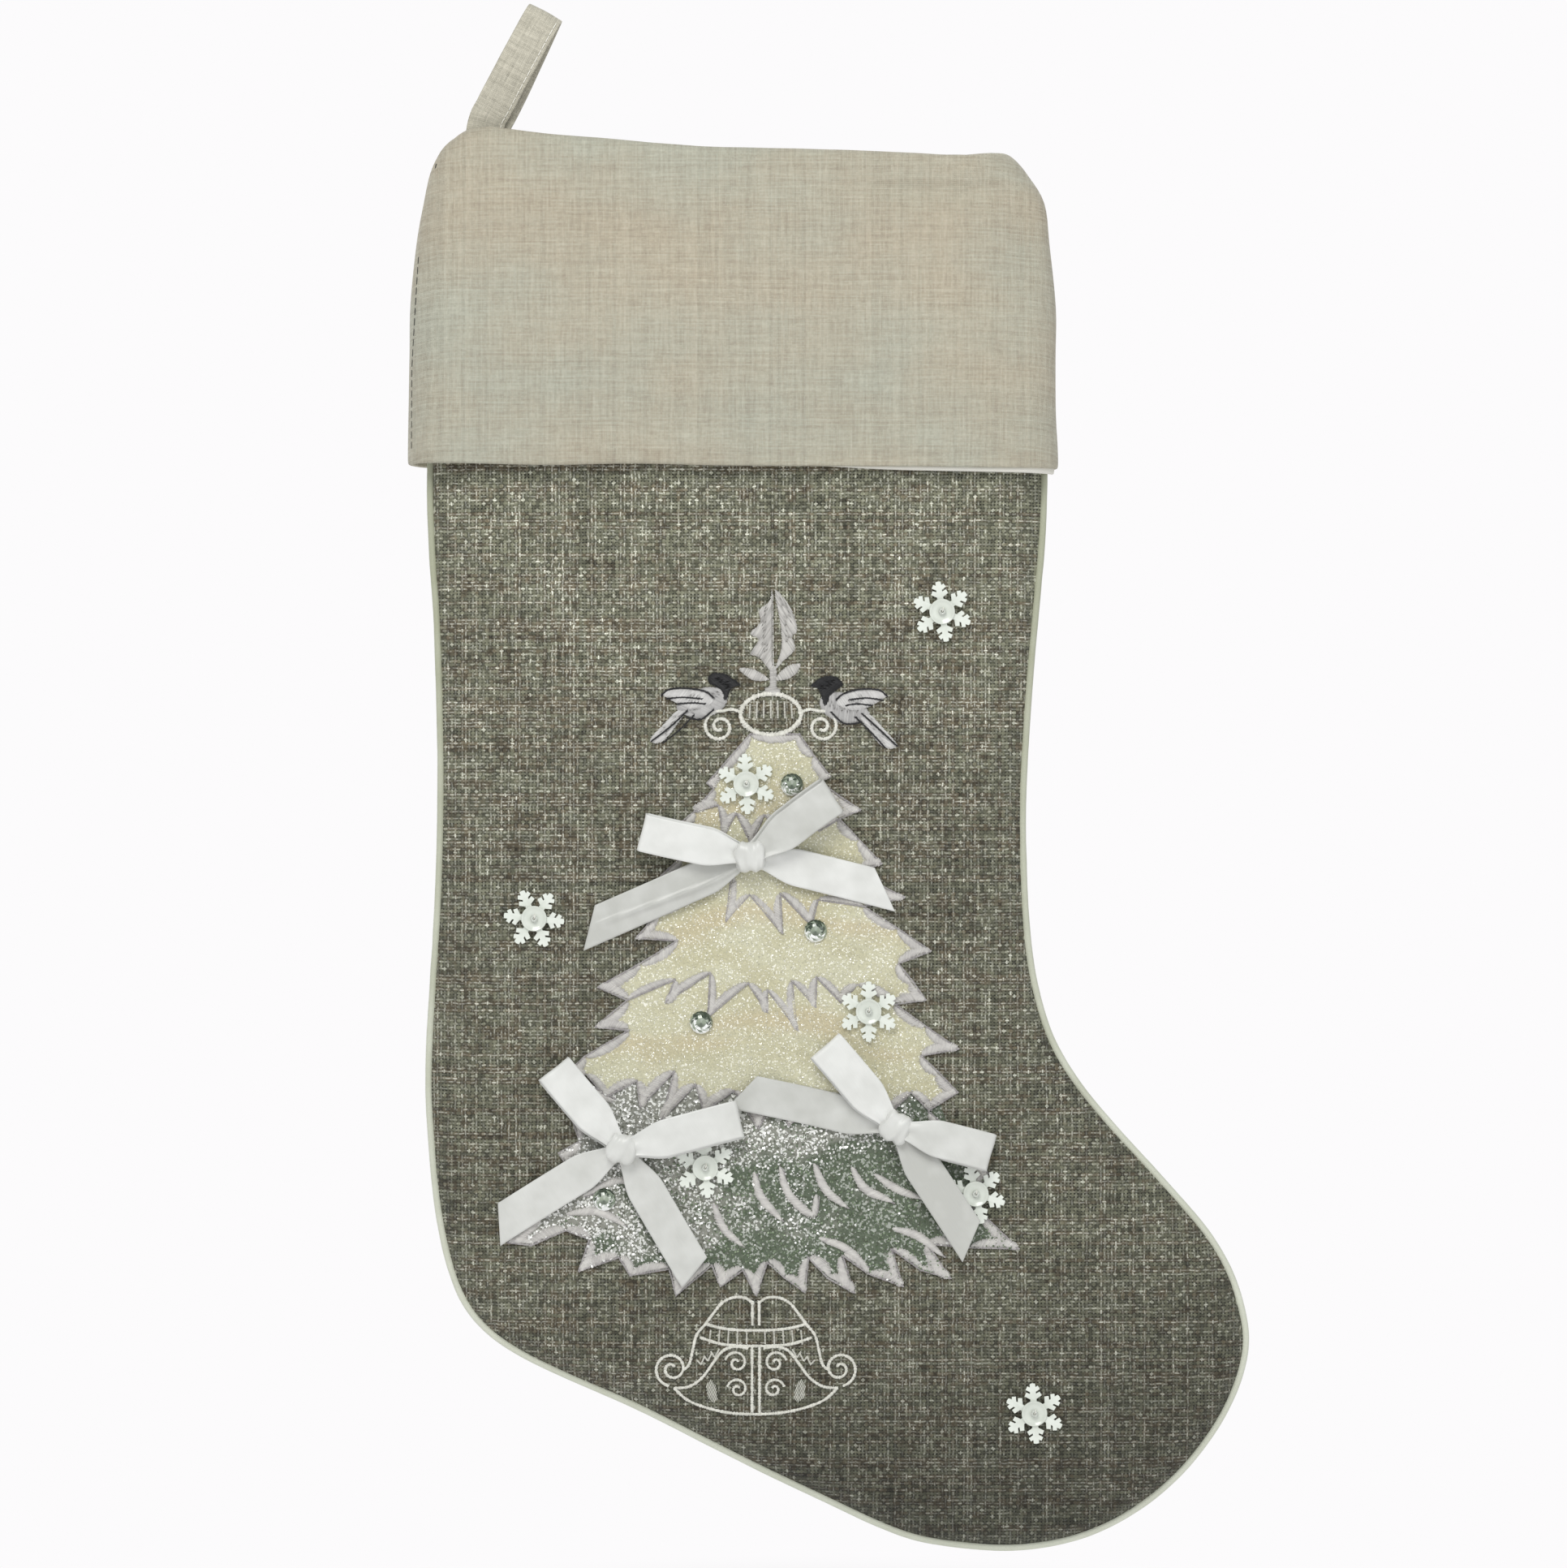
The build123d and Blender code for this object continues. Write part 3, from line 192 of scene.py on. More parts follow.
def inside(poly, x, z):
    """Which points lie inside a polygon."""
    poly = np.asarray(poly, float)
    x, z = np.asarray(x, float), np.asarray(z, float)
    odd = np.zeros(x.shape, bool)
    a = poly
    b = np.roll(poly, -1, 0)
    for (x0, z0), (x1, z1) in zip(a, b):
        if z0 == z1:
            continue
        hit = (z0 > z) != (z1 > z)
        odd ^= hit & (x < (x1 - x0) * (z - z0) / (z1 - z0) + x0)
    return odd


def edge_distance(poly, x, z, closed=True):
    poly = np.asarray(poly, float)
    a = poly if closed else poly[:-1]
    b = np.roll(poly, -1, 0) if closed else poly[1:]
    best = np.full(x.shape, 1e9)
    for (x0, z0), (x1, z1) in zip(a, b):
        dx, dz = x1 - x0, z1 - z0
        l2 = dx * dx + dz * dz
        if l2 < 1e-12:
            continue
        t = np.clip(((x - x0) * dx + (z - z0) * dz) / l2, 0, 1)
        best = np.minimum(best, (x - x0 - t * dx) ** 2 + (z - z0 - t * dz) ** 2)
    return np.sqrt(best)


def smoothstep(a, b, x):
    t = np.clip((x - a) / (b - a), 0, 1)
    return t * t * (3 - 2 * t)


def value_noise(x, z, cell, seed):
    """Smooth repeatable noise, -1 to 1."""
    r = np.random.default_rng(seed)
    table = r.uniform(-1, 1, (64, 64))
    u, v = x / cell + 1000.0, z / cell + 1000.0
    i, j = np.floor(u).astype(int), np.floor(v).astype(int)
    fu, fv = u - i, v - j
    fu, fv = fu * fu * (3 - 2 * fu), fv * fv * (3 - 2 * fv)
    t = lambda a, b: table[a % 64, b % 64]
    return (t(i, j) * (1 - fu) + t(i + 1, j) * fu) * (1 - fv) + (t(i, j + 1) * (1 - fu) + t(i + 1, j + 1) * fu) * fv


def build(name, verts, faces, mat=None, smooth=True, attrs=None):
    """Mesh object from vertices in mm (x, y, z) and arrays of triangles or quads."""
    me = bpy.data.meshes.new(name)
    verts = np.asarray(verts, float) * MM
    groups = [np.asarray(f, int) for f in faces if len(f)]
    loops = np.concatenate([g.ravel() for g in groups])
    sizes = np.concatenate([np.full(len(g), g.shape[1]) for g in groups])
    me.vertices.add(len(verts))
    me.vertices.foreach_set("co", verts.astype(np.float32).ravel())
    me.loops.add(len(loops))
    me.loops.foreach_set("vertex_index", loops.astype(np.int32))
    me.polygons.add(len(sizes))
    me.polygons.foreach_set("loop_start", np.concatenate([[0], np.cumsum(sizes)[:-1]]).astype(np.int32))
    me.polygons.foreach_set("loop_total", sizes.astype(np.int32))
    me.polygons.foreach_set("use_smooth", np.full(len(sizes), bool(smooth)))
    for key, (domain, kind, values) in (attrs or {}).items():
        a = me.attributes.new(key, kind, domain)
        if kind == "FLOAT":
            a.data.foreach_set("value", np.asarray(values, np.float32).ravel())
        else:
            a.data.foreach_set("color", np.asarray(values, np.float32).ravel())
    me.update(calc_edges=True)
    me.validate()
    ob = bpy.data.objects.new(name, me)
    bpy.context.scene.collection.objects.link(ob)
    if mat:
        me.materials.append(mat)
    return ob


def grid_faces(rows, cols, close_cols=False, close_rows=False, offset=0):
    r = np.arange(rows if close_rows else rows - 1)
    c = np.arange(cols if close_cols else cols - 1)
    rr, cc = np.meshgrid(r, c, indexing="ij")
    r1, c1 = (rr + 1) % rows, (cc + 1) % cols
    return np.stack([rr * cols + cc, rr * cols + c1, r1 * cols + c1, r1 * cols + cc], -1).reshape(-1, 4) + offset


class Bag:
    """Collects vertices and faces of one piece."""

    def __init__(self):
        self.v, self.f3, self.f4, self.n, self.a = [], [], [], 0, []

    def add(self, verts, tris=None, quads=None, value=0.0):
        verts = np.asarray(verts, float).reshape(-1, 3)
        self.v.append(verts)
        if tris is not None and len(tris):
            self.f3.append(np.asarray(tris, int) + self.n)
        if quads is not None and len(quads):
            self.f4.append(np.asarray(quads, int) + self.n)
        self.a.append(np.broadcast_to(np.asarray(value, float), (len(verts),)).copy())
        self.n += len(verts)

    def make(self, name, mat, smooth=True):
        faces = []
        if self.f3:
            faces.append(np.concatenate(self.f3))
        if self.f4:
            faces.append(np.concatenate(self.f4))
        return build(name, np.concatenate(self.v), faces, mat, smooth, {"tint": ("POINT", "FLOAT", np.concatenate(self.a))})


# ------------------------------------------------------------------ node maths
class E:
    """A shader value that can be added, multiplied and so on."""

    def __init__(self, t, k):
        self.t, self.k = t, k

    def op(self, name, *rest, clamp=False):
        n = self.t.nodes.new("ShaderNodeMath")
        n.operation, n.use_clamp = name, clamp
        for i, v in enumerate((self,) + rest):
            if isinstance(v, E):
                self.t.links.new(v.k, n.inputs[i])
            else:
                n.inputs[i].default_value = float(v)
        return E(self.t, n.outputs[0])

    def __add__(self, o): return self.op("ADD", o)
    def __radd__(self, o): return self.op("ADD", o)
    def __sub__(self, o): return self.op("SUBTRACT", o)
    def __rsub__(self, o): return (self * -1.0).op("ADD", o)
    def __mul__(self, o): return self.op("MULTIPLY", o)
    def __rmul__(self, o): return self.op("MULTIPLY", o)
    def __truediv__(self, o): return self.op("DIVIDE", o)
    def __neg__(self): return self * -1.0
    def floor(self): return self.op("FLOOR")
    def fract(self): return self.op("FRACT")
    def abs(self): return self.op("ABSOLUTE")
    def sin(self): return self.op("SINE")
    def cos(self): return self.op("COSINE")
    def sqrt(self): return self.op("SQRT")
    def power(self, o): return self.op("POWER", o)
    def max(self, o): return self.op("MAXIMUM", o)
    def min(self, o): return self.op("MINIMUM", o)
    def gt(self, o): return self.op("GREATER_THAN", o)
    def mod(self, o): return self.op("FLOORED_MODULO", o)
    def clamp(self): return self.op("ADD", 0.0, clamp=True)

    def step(self, a, b):
        n = self.t.nodes.new("ShaderNodeMapRange")
        n.interpolation_type = "SMOOTHSTEP"
        self.t.links.new(self.k, n.inputs["Value"])
        n.inputs["From Min"].default_value, n.inputs["From Max"].default_value = a, b
        n.inputs["To Min"].default_value, n.inputs["To Max"].default_value = 0.0, 1.0
        return E(self.t, n.outputs["Result"])


class Shade:
    """A material under construction. x, y, z are the piece's own coordinates in mm."""

    def __init__(self, name, roughness=0.8, metallic=0.0, sheen=0.0, coat=0.0, specular=0.5, sheen_rough=0.5, coat_rough=0.1, ior=1.5, transmission=0.0, aniso=0.0):
        m = bpy.data.materials.new(name)
        m.use_nodes = True
        self.m, self.t = m, m.node_tree
        self.p = next(n for n in self.t.nodes if n.type == "BSDF_PRINCIPLED")
        p = self.p.inputs
        p["Roughness"].default_value = roughness
        p["Metallic"].default_value = metallic
        p["Sheen Weight"].default_value = sheen
        p["Sheen Roughness"].default_value = sheen_rough
        p["Coat Weight"].default_value = coat
        p["Coat Roughness"].default_value = coat_rough
        p["Specular IOR Level"].default_value = specular
        p["IOR"].default_value = ior
        p["Transmission Weight"].default_value = transmission
        p["Anisotropic"].default_value = aniso
        tc = self.t.nodes.new("ShaderNodeTexCoord")
        sep = self.t.nodes.new("ShaderNodeSeparateXYZ")
        self.t.links.new(tc.outputs["Object"], sep.inputs[0])
        self.x, self.y, self.z = (E(self.t, sep.outputs[i]) * 1000.0 for i in range(3))

    def attr(self, name):
        n = self.t.nodes.new("ShaderNodeAttribute")
        n.attribute_name = name
        return E(self.t, n.outputs["Fac"])

    def vec(self, *c):
        n = self.t.nodes.new("ShaderNodeCombineXYZ")
        for i, v in enumerate(c):
            if isinstance(v, E):
                self.t.links.new(v.k, n.inputs[i])
            else:
                n.inputs[i].default_value = float(v)
        return n.outputs[0]

    def noise(self, *c, detail=2.0, rough=0.5):
        n = self.t.nodes.new("ShaderNodeTexNoise")
        n.inputs["Scale"].default_value = 1.0
        n.inputs["Detail"].default_value = detail
        n.inputs["Roughness"].default_value = rough
        self.t.links.new(self.vec(*c), n.inputs["Vector"])
        return E(self.t, n.outputs["Fac"])

    def white(self, *c):
        n = self.t.nodes.new("ShaderNodeTexWhiteNoise")
        n.noise_dimensions = "3D"
        self.t.links.new(self.vec(*c), n.inputs["Vector"])
        return E(self.t, n.outputs["Value"])

    def cells(self, *c):
        """Voronoi cells: (distance to centre, random value)."""
        n = self.t.nodes.new("ShaderNodeTexVoronoi")
        n.inputs["Scale"].default_value = 1.0
        self.t.links.new(self.vec(*c), n.inputs["Vector"])
        s = self.t.nodes.new("ShaderNodeSeparateColor")
        self.t.links.new(n.outputs["Color"], s.inputs[0])
        return E(self.t, n.outputs["Distance"]), E(self.t, s.outputs[0]), E(self.t, s.outputs[1])

    def mix(self, f, a, b):
        n = self.t.nodes.new("ShaderNodeMix")
        n.data_type = "RGBA"
        n.clamp_factor = True
        self.t.links.new(f.k, n.inputs[0])
        for i, v in ((6, a), (7, b)):
            if isinstance(v, E):
                self.t.links.new(v.k, n.inputs[i])
            else:
                n.inputs[i].default_value = (*v, 1.0)
        return E(self.t, n.outputs[2])

    def scale(self, colour, f):
        """colour times a value."""
        n = self.t.nodes.new("ShaderNodeMix")
        n.data_type = "RGBA"
        n.blend_type = "MULTIPLY"
        n.clamp_result = False
        n.inputs[0].default_value = 1.0
        if isinstance(colour, E):
            self.t.links.new(colour.k, n.inputs[6])
        else:
            n.inputs[6].default_value = (*colour, 1.0)
        c = self.t.nodes.new("ShaderNodeCombineColor")
        for i in range(3):
            self.t.links.new(f.k, c.inputs[i])
        self.t.links.new(c.outputs[0], n.inputs[7])
        return E(self.t, n.outputs[2])

    def colour(self, e):
        self.t.links.new(e.k, self.p.inputs["Base Color"])

    def rough(self, e):
        self.t.links.new(e.k, self.p.inputs["Roughness"])

    def metal(self, e):
        self.t.links.new(e.k, self.p.inputs["Metallic"])

    def bump(self, e, mm, strength=1.0):
        n = self.t.nodes.new("ShaderNodeBump")
        n.inputs["Strength"].default_value = strength
        n.inputs["Distance"].default_value = mm * MM
        self.t.links.new(e.k, n.inputs["Height"])
        self.t.links.new(n.outputs[0], self.p.inputs["Normal"])


def srgb(r, g, b):
    f = lambda c: (c / 255 / 12.92) if c / 255 <= 0.04045 else ((c / 255 + 0.055) / 1.055) ** 2.4
    return (f(r), f(g), f(b))


# ------------------------------------------------------------------ materials
def yarns(s, u, v, pu, pv, seed):
    """Plain weave of uneven yarns. Returns the two yarns' heights, cell numbers, random numbers and slow noise."""
    iu, iv = (u / pu).floor(), (v / pv).floor()
    fu, fv = (u / pu).fract(), (v / pv).fract()
    ru, rv = s.white(iu, seed, 0.0), s.white(iv, seed + 7.0, 3.0)
    su = s.noise(iu * 3.7, v * 0.06, seed, detail=1.0)
    sv = s.noise(iv * 3.7, u * 0.06, seed + 5.0, detail=1.0)
    wu = 0.75 + ru * 0.5 + (su - 0.5) * 1.1
    wv = 0.75 + rv * 0.5 + (sv - 0.5) * 1.1
    cu = (1.0 - ((fu - 0.5).abs() * 2.0 / wu).power(2.2)).max(0.0)
    cv = (1.0 - ((fv - 0.5).abs() * 2.0 / wv).power(2.2)).max(0.0)
    odd = (iu + iv).mod(2.0)
    # Each yarn dips under its neighbour: a smooth rise and fall along it.
    ru_h = 0.5 + 0.5 * ((v / pv - 0.5) * math.pi).cos() * (1.0 - 2.0 * iu.mod(2.0))
    rv_h = 0.5 - 0.5 * ((u / pu - 0.5) * math.pi).cos() * (1.0 - 2.0 * iv.mod(2.0))
    hu = cu * (0.35 + 0.65 * ru_h)
    hv = cv * (0.35 + 0.65 * rv_h)
    return hu, hv, iu, iv, ru, rv, su, sv


def dark_cloth(name):
    s = Shade(name, roughness=0.72, sheen=0.05, specular=0.35)
    x, z = s.x, s.z
    wx = s.noise(x * 0.04, z * 0.35, 1.0, detail=2.0) - 0.5
    wz = s.noise(x * 0.35, z * 0.04, 4.0, detail=2.0) - 0.5
    u, v = x + wx * 0.9, z + wz * 0.9
    hu, hv, iu, iv, ru, rv, su, sv = yarns(s, u, v, 1.16, 1.1, 11.0)
    top = (hu - hv).step(-0.12, 0.12)
    streak_v = s.noise(x * 0.5, z * 0.02, 9.0, detail=3.0, rough=0.65)
    streak_h = s.noise(x * 0.02, z * 0.5, 2.0, detail=3.0, rough=0.65)
    cloud = s.noise(x * 0.02, z * 0.02, 5.0, detail=3.0)
    hue = s.noise(x * 0.13, z * 0.16, 25.0, detail=3.0, rough=0.7)
    # Olive-brown and grey-green yarns in uneven patches.
    brown = (hue + (rv - 0.5) * 0.35 + (ru - 0.5) * 0.2).step(0.42, 0.68)
    warp = s.mix(brown, srgb(122, 123, 103), srgb(104, 95, 76))
    weft = s.mix(brown, srgb(128, 129, 108), srgb(112, 103, 83))
    # Thin silver yarns run both ways and rise in short dashes.
    fu, fv = (u / 1.16).fract(), (v / 1.1).fract()
    thin_u = 1.0 - ((fu - 0.5).abs() * 2.0).step(0.15, 0.5)
    thin_v = 1.0 - ((fv - 0.5).abs() * 2.0).step(0.15, 0.5)
    dash_u = s.noise(iu * 5.3, v * 0.42, 31.0, detail=2.0, rough=0.6)
    dash_v = s.noise(iv * 5.3, u * 0.42, 47.0, detail=2.0, rough=0.6)
    sil_u = (ru * 0.3 + (su - 0.5) * 0.6 + (streak_v - 0.5) * 0.8 + (dash_u - 0.5) * 2.0 + 0.42).step(0.42, 0.95) * thin_u * (0.35 + 0.65 * top)
    sil_v = (rv * 0.3 + (sv - 0.5) * 0.6 + (streak_h - 0.5) * 0.8 + (dash_v - 0.5) * 2.0 + 0.42).step(0.42, 0.95) * thin_v * (1.0 - 0.65 * top)
    cell = s.white(iu, iv, 8.0)
    # Bright glints gather on the instep and the toe.
    instep = ((x * 0.72 + z * -0.69 - 330.0) / 42.0).abs().step(0.0, 1.3)
    glint = cell.gt(0.978) * (thin_u * top + thin_v * (1.0 - top)) * (1.1 - instep * 0.4)
    silver = (sil_u.max(sil_v) * 0.78 + glint * 0.85).clamp()
    c = s.mix(top, weft, warp)
    c = s.mix(silver, c, srgb(218, 219, 205))
    fine = s.noise(x * 3.5, z * 3.5, 6.0, detail=2.0)
    light = 0.86 + (streak_v + streak_h - 1.0) * 0.9 + (cloud - 0.5) * 0.35 + (fine - 0.5) * 0.8 + (cell - 0.5) * 0.75
    # Painted shade in the gaps between the yarns.
    gap_shade = 0.08 + 0.92 * hu.max(hv).step(0.0, 0.62)
    # Painted shade: the cloth is darker towards the toe, where less light reaches the foot.
    drop = 1.0 - (z * -1.0).step(130.0, 330.0) * 0.24 - (z * -1.0 + x * 0.12).step(390.0, 505.0) * 0.34
    c = s.scale(c, (light * gap_shade * drop * 0.97).max(0.03))
    s.colour(c)
    s.rough(0.8 - silver * 0.45)
    s.metal(silver * 0.3)
    s.bump(hu.max(hv) + (fine - 0.5) * 0.3, 0.26, 0.9)
    return s.m


def linen(name, a, b, gain=1.0, pitch=0.62, depth=0.13, own=False):
    s = Shade(name, roughness=0.85, sheen=0.1, specular=0.25)
    x, z = (s.attr("wu"), s.attr("wv")) if own else (s.x, s.z + s.y * 0.15)
    wx = s.noise(x * 0.05, z * 0.3, 1.0, detail=2.0) - 0.5
    wz = s.noise(x * 0.3, z * 0.05, 4.0, detail=2.0) - 0.5
    u, v = x + wx * 0.8, z + wz * 0.8
    hu, hv, iu, iv, ru, rv, su, sv = yarns(s, u, v, pitch, pitch * 0.94, 3.0)
    streak_v = s.noise(x * 0.7, z * 0.02, 9.0, detail=3.0, rough=0.6)
    streak_h = s.noise(x * 0.02, z * 0.7, 2.0, detail=3.0, rough=0.6)
    cloud = s.noise(x * 0.025, z * 0.035, 5.0, detail=3.0)
    patch = s.noise(x * 0.012, z * 0.02, 15.0, detail=2.0)
    slub_v = s.noise(x * 1.3, z * 0.12, 41.0, detail=2.0, rough=0.6)
    slub_h = s.noise(x * 0.12, z * 1.3, 43.0, detail=2.0, rough=0.6)
    c = s.mix(((cloud - 0.5) * 1.5 + (slub_v - 0.5) * 0.8 + (slub_h - 0.5) * 0.8 + (rv - 0.5) * 0.2 + 0.5 + (patch - 0.5) * 1.8).clamp(), srgb(*a), srgb(*b))
    fine = s.noise(x * 4.0, z * 4.0, 6.0, detail=1.0)
    tick = s.white(iu, iv, 21.0)
    light = 0.98 + (streak_v + streak_h - 1.0) * 0.08 + (slub_v + slub_h - 1.0) * 0.42 + (fine - 0.5) * 0.2 + (ru + rv - 1.0) * 0.07 + (cloud - 0.5) * 0.08 + (tick - 0.5) * 0.12
    # Painted shade in the gaps between the yarns.
    gap_shade = 0.72 + 0.28 * hu.max(hv).step(0.05, 0.6)
    s.colour(s.scale(c, (light * gap_shade * gain).max(0.1)))
    s.bump(hu.max(hv) + (fine - 0.5) * 0.3, depth, 0.8)
    return s.m


def thread(name, lo, hi, roughness=0.38, along="tint", sheen=0.0, specular=0.5, pos=False):
    """Rayon thread: tone differs a little from strand to strand."""
    s = Shade(name, roughness=roughness, sheen=sheen, specular=specular)
    f = s.attr(along)
    n = s.noise(s.x * 0.35, s.z * 0.35, 3.0, detail=2.0)
    s.colour(s.mix((f * 0.7 + n * 0.6 - 0.15).clamp(), srgb(*lo), srgb(*hi)))
    s.bump(s.noise(s.x * 6.0, s.z * 6.0, s.y * 6.0, detail=1.0), 0.05, 0.5)
    return s.m


def satin(name):
    s = Shade(name, roughness=0.32, sheen=0.15, specular=0.5, aniso=0.4)
    # The tint darkens whole arms of a bow: painted shade on the tails and on loops lying in shade, partly also the dark
    # cloth seen through the thin ribbon.
    f = s.attr("tint")
    n = s.noise(s.x * 0.12, s.z * 0.12, 1.0, detail=2.0)
    w = s.noise(s.x * 2.2 + s.z * 1.4, s.x * -0.1 + s.z * 0.15, 2.0, detail=2.0)
    s.colour(s.scale(s.mix((n - 0.5 + f).clamp(), srgb(227, 228, 224), srgb(190, 191, 185)), 0.97 + (w - 0.5) * 0.05))
    s.bump(w + s.white((s.x * 5.0).floor(), (s.z * 5.0).floor(), 0.0) * 0.15, 0.03, 0.5)
    return s.m


def piping_cloth(name):
    s = Shade(name, roughness=0.55, sheen=0.15, specular=0.35)
    n = s.noise(s.x * 0.06, s.z * 0.06, 2.0, detail=2.0)
    fine = s.noise(s.x * 2.5, s.z * 2.5, s.y * 2.5, detail=2.0)
    # Paler below and at the toe, where more of it faces out.
    low = (s.z * -1.0).step(150.0, 420.0)
    c = s.mix((low * 0.75 + (n - 0.5) * 0.7).clamp(), srgb(168, 171, 148), srgb(214, 217, 202))
    s.colour(s.scale(c, 0.98 + (fine - 0.5) * 0.22))
    diag = ((s.x + s.z + s.y) * 4.2).sin() * 0.5 + 0.5
    s.bump(diag * 0.5 + fine, 0.07, 0.7)
    return s.m


def cream_cloth(name):
    s = Shade(name, roughness=0.6, sheen=0.2, specular=0.5)
    x, z = s.x, s.z
    base = s.mix(s.noise(x * 0.05, z * 0.08, 2.0, detail=3.0).step(0.35, 0.65), srgb(196, 192, 160), srgb(206, 204, 176))
    # Soft tan bands that wave across the tiers.
    wave = (z * 0.17 + (x * 0.06).sin() * 0.9 + s.noise(x * 0.03, z * 0.02, 8.0) * 2.5).sin().step(0.35, 1.0) * s.noise(x * 0.02, z * 0.06, 12.0).step(0.4, 0.6)
    base = s.mix(wave * 0.6, base, srgb(198, 184, 150))
    d, r1, r2 = s.cells(x * 2.4, z * 2.4, s.y * 0.0)
    spark = r1.gt(0.9)
    c = s.mix(spark * 0.8, base, srgb(243, 242, 230))
    dark = r2.gt(0.93)
    c = s.mix(dark * 0.35, c, srgb(150, 148, 128))
    s.colour(s.scale(c, 0.95 + (r1 - 0.5) * 0.2))
    s.rough(0.75 - spark * 0.5)
    s.bump(r1 * 0.6 + s.noise(x * 1.2, z * 1.2, 3.0, detail=3.0) * 0.8, 0.16, 0.8)
    return s.m


def glitter_ground(name):
    s = Shade(name, roughness=0.5, specular=0.5)
    x, z = s.x, s.z
    d, r1, r2 = s.cells(x * 1.5, z * 1.5, 0.0)
    green = (s.noise(x * 0.045, z * 0.06, 3.0, detail=3.0) + ((x - 40.0) * 0.003) - (z + 375.0) * 0.006).step(0.48, 0.66)
    c = s.mix(green * 0.85, srgb(146, 147, 137), srgb(74, 90, 66))
    c = s.mix(r1.gt(0.74) * (0.8 - green * 0.5), c, srgb(240, 241, 236))
    c = s.mix(r2.gt(0.9) * 0.6, c, srgb(78, 82, 66))
    s.colour(s.scale(c, 0.8 + r1 * 0.35))
    s.metal(r1 * 0.12)
    s.rough(0.3 + r2 * 0.4)
    s.bump(r1 + d * 0.5, 0.35, 0.9)
    return s.m


def flake_metal(name, a, b, metallic=0.85, roughness=0.22):
    s = Shade(name, roughness=roughness, metallic=metallic)
    s.colour(s.mix(s.attr("tint"), srgb(*a), srgb(*b)))
    s.rough(roughness + s.white((s.x * 2.0).floor(), (s.z * 2.0).floor(), 0.0) * 0.15)
    return s.m


def pearl(name):
    s = Shade(name, roughness=0.22, coat=0.5, coat_rough=0.08, specular=0.6)
    n = s.noise(s.x * 0.3, s.z * 0.3, 2.0, detail=2.0)
    # The tint carries painted shade from the sequin's rim and centre; the noise is random tone.
    s.colour(s.mix((s.attr("tint") * 0.9 + (n - 0.5) * 0.3).clamp(), srgb(228, 233, 224), srgb(176, 182, 168)))
    s.bump(s.noise(s.x * 1.2, s.z * 1.2, 1.0, detail=1.0), 0.05, 0.4)
    return s.m


def stone(name):
    s = Shade(name, roughness=0.12, metallic=0.15, coat=1.0, coat_rough=0.02, specular=0.8)
    # Painted reflections: the tint gives each facet the dark green, grey-green or white that clear glass would mirror.
    f = s.attr("tint")
    c = s.mix(f.step(0.12, 0.5), srgb(44, 60, 40), srgb(146, 158, 138))
    c = s.mix(f.step(0.55, 0.8), c, srgb(250, 252, 250))
    s.colour(s.scale(c, 0.95 + s.noise(s.x * 0.8, s.z * 0.8, 2.0) * 0.1))
    return s.m


def lining_cloth(name):
    s = Shade(name, roughness=0.8, sheen=0.1, specular=0.3)
    n = s.noise(s.x * 0.05, s.z * 0.05, 2.0, detail=3.0)
    w = ((s.x * 7.0).sin() * (s.z * 7.0).sin()) * 0.5 + 0.5
    s.colour(s.scale(s.mix(n, srgb(214, 212, 202), srgb(226, 225, 216)), 0.94 + w * 0.08))
    s.bump(w, 0.08, 0.6)
    return s.m


MAT = {
    "dark": dark_cloth("dark_cloth_weave"),
    "cuff": linen("cuff_linen_weave", (192, 182, 161), (184, 184, 168), 0.865),
    "strap": linen("loop_linen_weave", (183, 179, 163), (189, 185, 170), 1.0, 0.6, own=True),
    "back": linen("back_linen_weave", (186, 180, 162), (190, 189, 172), 1.0, 0.9),
    "piping": piping_cloth("piping_sateen"),
    "cream": cream_cloth("snow_applique_cloth"),
    "glitter": glitter_ground("glitter_cloth"),
    "lilac": thread("silver_satin_stitch", (140, 135, 137), (216, 214, 208), 0.36),
    "white": thread("white_satin_stitch", (206, 205, 194), (240, 239, 230), 0.4),
    "leaf": thread("leaf_satin_stitch", (158, 156, 152), (216, 214, 209), 0.33),
    "bird": thread("bird_satin_stitch", (150, 149, 148), (218, 217, 214), 0.34),
    "black": thread("black_thread", (14, 14, 16), (34, 34, 36), 0.45),
    "seam": thread("dark_seam_thread", (44, 44, 40), (88, 88, 80), 0.6),
    "pale": thread("pale_thread", (214, 211, 200), (235, 233, 224), 0.5),
    "satin": satin("white_satin_ribbon"),
    "pearl": pearl("pearl_sequin"),
    "stone": stone("faceted_stone"),
    "lining": lining_cloth("lining_weave"),
    "silver_glitter": flake_metal("silver_glitter_flakes", (222, 223, 218), (253, 253, 250), 0.45, 0.25),
    "green_glitter": flake_metal("green_glitter_flakes", (80, 98, 70), (140, 154, 128), 0.3, 0.35),
    "clear_glitter": flake_metal("clear_glitter_flakes", (232, 230, 214), (252, 251, 240), 0.45, 0.18),
}


def bead_glass(name):
    s = Shade(name, roughness=0.08, coat=0.6, specular=0.7)
    n = s.noise(s.x * 1.5, s.z * 1.5, 1.0)
    s.colour(s.mix(n, srgb(150, 156, 146), srgb(222, 226, 218)))
    return s.m


MAT["bead"] = bead_glass("clear_seed_bead")

